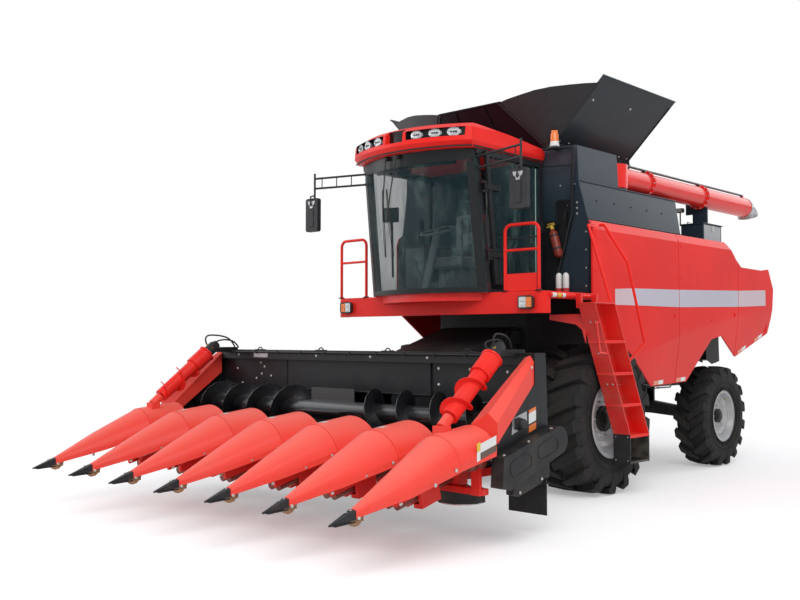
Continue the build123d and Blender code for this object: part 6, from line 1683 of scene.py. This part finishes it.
# --------------------------------------------------------------------- studio
FLOOR_HALF = 60.0
FLOOR_FADE, FLOOR_BLUR = 8.5, 3.5
PURE_WHITE = (1.0, 1.0, 1.0, 1.0)
LIGHTS = (    # name, place, what it aims at, size, power
    ("key_light", (8.6, -8.2, 11.0), (0.0, -1.0, 1.5), 9.0, 1080.0),
    ("fill_light", (-11.0, -7.0, 7.0), (0.0, 0.0, 1.5), 9.0, 520.0),
    ("back_light", (3.0, 13.0, 9.0), (0.0, 0.0, 2.0), 8.0, 360.0),
)
CAMERA_PLACE = (7.47, -9.818, 1.812)
CAMERA_YAW, CAMERA_PITCH = math.radians(43.06), math.radians(2.3)


def place_in_scene(name, data, place, way):
    """Puts a lamp or a camera somewhere and points it along a way."""
    made = bpy.data.objects.new(name, data)
    made.location = place
    made.rotation_mode = "QUATERNION"
    made.rotation_quaternion = way.to_track_quat("-Z", "Y")
    bpy.context.scene.collection.objects.link(made)
    return made


class HARVESTER_OT_studio(bpy.types.Operator):
    """Make the floor, the soft light and the camera"""

    bl_idname = "harvester.studio"
    bl_label = "Set up the studio"

    def sky(self, scene):
        """A pale sky that lights the machine, with white where the camera looks past it."""
        world = bpy.data.worlds.new("studio_world")
        scene.world = world
        world.use_nodes = True
        tree = world.node_tree
        tree.nodes.clear()
        out, sky, white, mix, rays, seen = (tree.nodes.new("ShaderNode" + kind) for kind in (
            "OutputWorld", "Background", "Background", "MixShader", "LightPath", "Math"))
        sky.inputs["Color"].default_value = (0.93, 0.96, 1.0, 1.0)
        sky.inputs["Strength"].default_value = 0.62
        white.inputs["Color"].default_value = PURE_WHITE
        seen.operation = "MAXIMUM"
        for source, target in (
            (rays.outputs["Is Camera Ray"], seen.inputs[0]),
                               (rays.outputs["Is Transmission Ray"], seen.inputs[1]),
            (seen.outputs[0], mix.inputs[0]), (sky.outputs[0], mix.inputs[1]),
                               (white.outputs[0], mix.inputs[2]),
            (mix.outputs[0], out.inputs[0]),
        ):
            tree.links.new(source, target)

    def floor(self, scene):
        """A floor that is white to the camera and fades out, but keeps the shadow near the machine."""
        mesh = bpy.data.meshes.new("studio_floor")
        half = FLOOR_HALF
        mesh.from_pydata([(-half, -half, 0), (half, -half, 0), (half, half, 0), (-half, half, 0)], [],
                         [(0, 1, 2, 3)])
        floor = bpy.data.objects.new("studio_floor", mesh)
        scene.collection.objects.link(floor)
        pale = Finish("pale_floor", (0.8, 0.8, 0.8), Roughness=0.9, Specular_IOR_Level=0.1)
        far = ((pale.x * pale.x) + (pale.y * pale.y)) ** 0.5
        open_light = pale.node("ShaderNodeEmission", {}, PURE_WHITE, 1.0).outputs[0]
        near_white = pale.node("ShaderNodeEmission", {}, PURE_WHITE, 0.3).outputs[0]
        lit = pale.node("ShaderNodeAddShader", {}, pale.shader.outputs[0], near_white).outputs[0]
        faded = pale.node("ShaderNodeMixShader", {}, far.above(FLOOR_FADE, FLOOR_BLUR), lit,
                          open_light).outputs[0]
        sight = pale.node("ShaderNodeLightPath").outputs
        seen_or_mirrored = Value(pale, sight["Is Camera Ray"]).greatest(Value(pale, sight["Is Glossy Ray"]))
        surface = pale.node("ShaderNodeMixShader", {}, seen_or_mirrored, pale.shader.outputs[0],
                            faded).outputs[0]
        pale.set(pale.tree.nodes["Material Output"].inputs["Surface"], surface)
        mesh.materials.append(pale.material)

    def execute(self, context):
        scene = context.scene
        scene.view_settings.view_transform = "Standard"
        self.sky(scene)
        self.floor(scene)
        for name, place, aim, size, power in LIGHTS:
            lamp = bpy.data.lights.new(name, "AREA")
            lamp.size = size
            lamp.energy = power
            place_in_scene(name, lamp, place, Vector(aim) - Vector(place))
        view = bpy.data.cameras.new("studio_camera")
        view.sensor_width = 36.0
        view.lens = 43.3
        level_way = Vector((-math.sin(CAMERA_YAW), math.cos(CAMERA_YAW), 0)) * math.cos(CAMERA_PITCH)
        scene.camera = place_in_scene("studio_camera", view, CAMERA_PLACE,
                                      level_way + UP * math.sin(CAMERA_PITCH))
        return {"FINISHED"}


class HARVESTER_PT_panel(bpy.types.Panel):
    """Lists the steps that dress the machine"""

    bl_idname = "HARVESTER_PT_panel"
    bl_label = "Harvester"
    bl_space_type = "VIEW_3D"
    bl_region_type = "UI"
    bl_category = "Harvester"

    def draw(self, context):
        look = context.scene.harvester_look
        for name in look.bl_rna.properties.keys():
            if name not in ("rna_type", "name"):
                self.layout.prop(look, name)
        for operator in OPERATORS:
            self.layout.operator(operator.bl_idname)


OPERATORS = (
    HARVESTER_OT_finish_frame, HARVESTER_OT_side_panels, HARVESTER_OT_tank_corners, HARVESTER_OT_roof_lamps,
    HARVESTER_OT_cab_trim, HARVESTER_OT_cab_inside, HARVESTER_OT_deck_fittings, HARVESTER_OT_header_fittings,
    HARVESTER_OT_end_motors, HARVESTER_OT_wheel_fittings, HARVESTER_OT_tyre_shoulders,
    HARVESTER_OT_auger_fittings, HARVESTER_OT_rear_fittings, HARVESTER_OT_studio,
)
CLASSES = (HARVESTER_PG_look, *OPERATORS, HARVESTER_PT_panel)


def register():
    for item in CLASSES:
        bpy.utils.register_class(item)
    bpy.types.Scene.harvester_look = bpy.props.PointerProperty(type=HARVESTER_PG_look)


def unregister():
    del bpy.types.Scene.harvester_look
    for item in reversed(CLASSES):
        bpy.utils.unregister_class(item)


def main():
    """Registers the steps and runs them in order."""
    register()
    for operator in OPERATORS:
        group, step = operator.bl_idname.split(".")
        getattr(getattr(bpy.ops, group), step)()


if __name__ == "__main__":
    main()
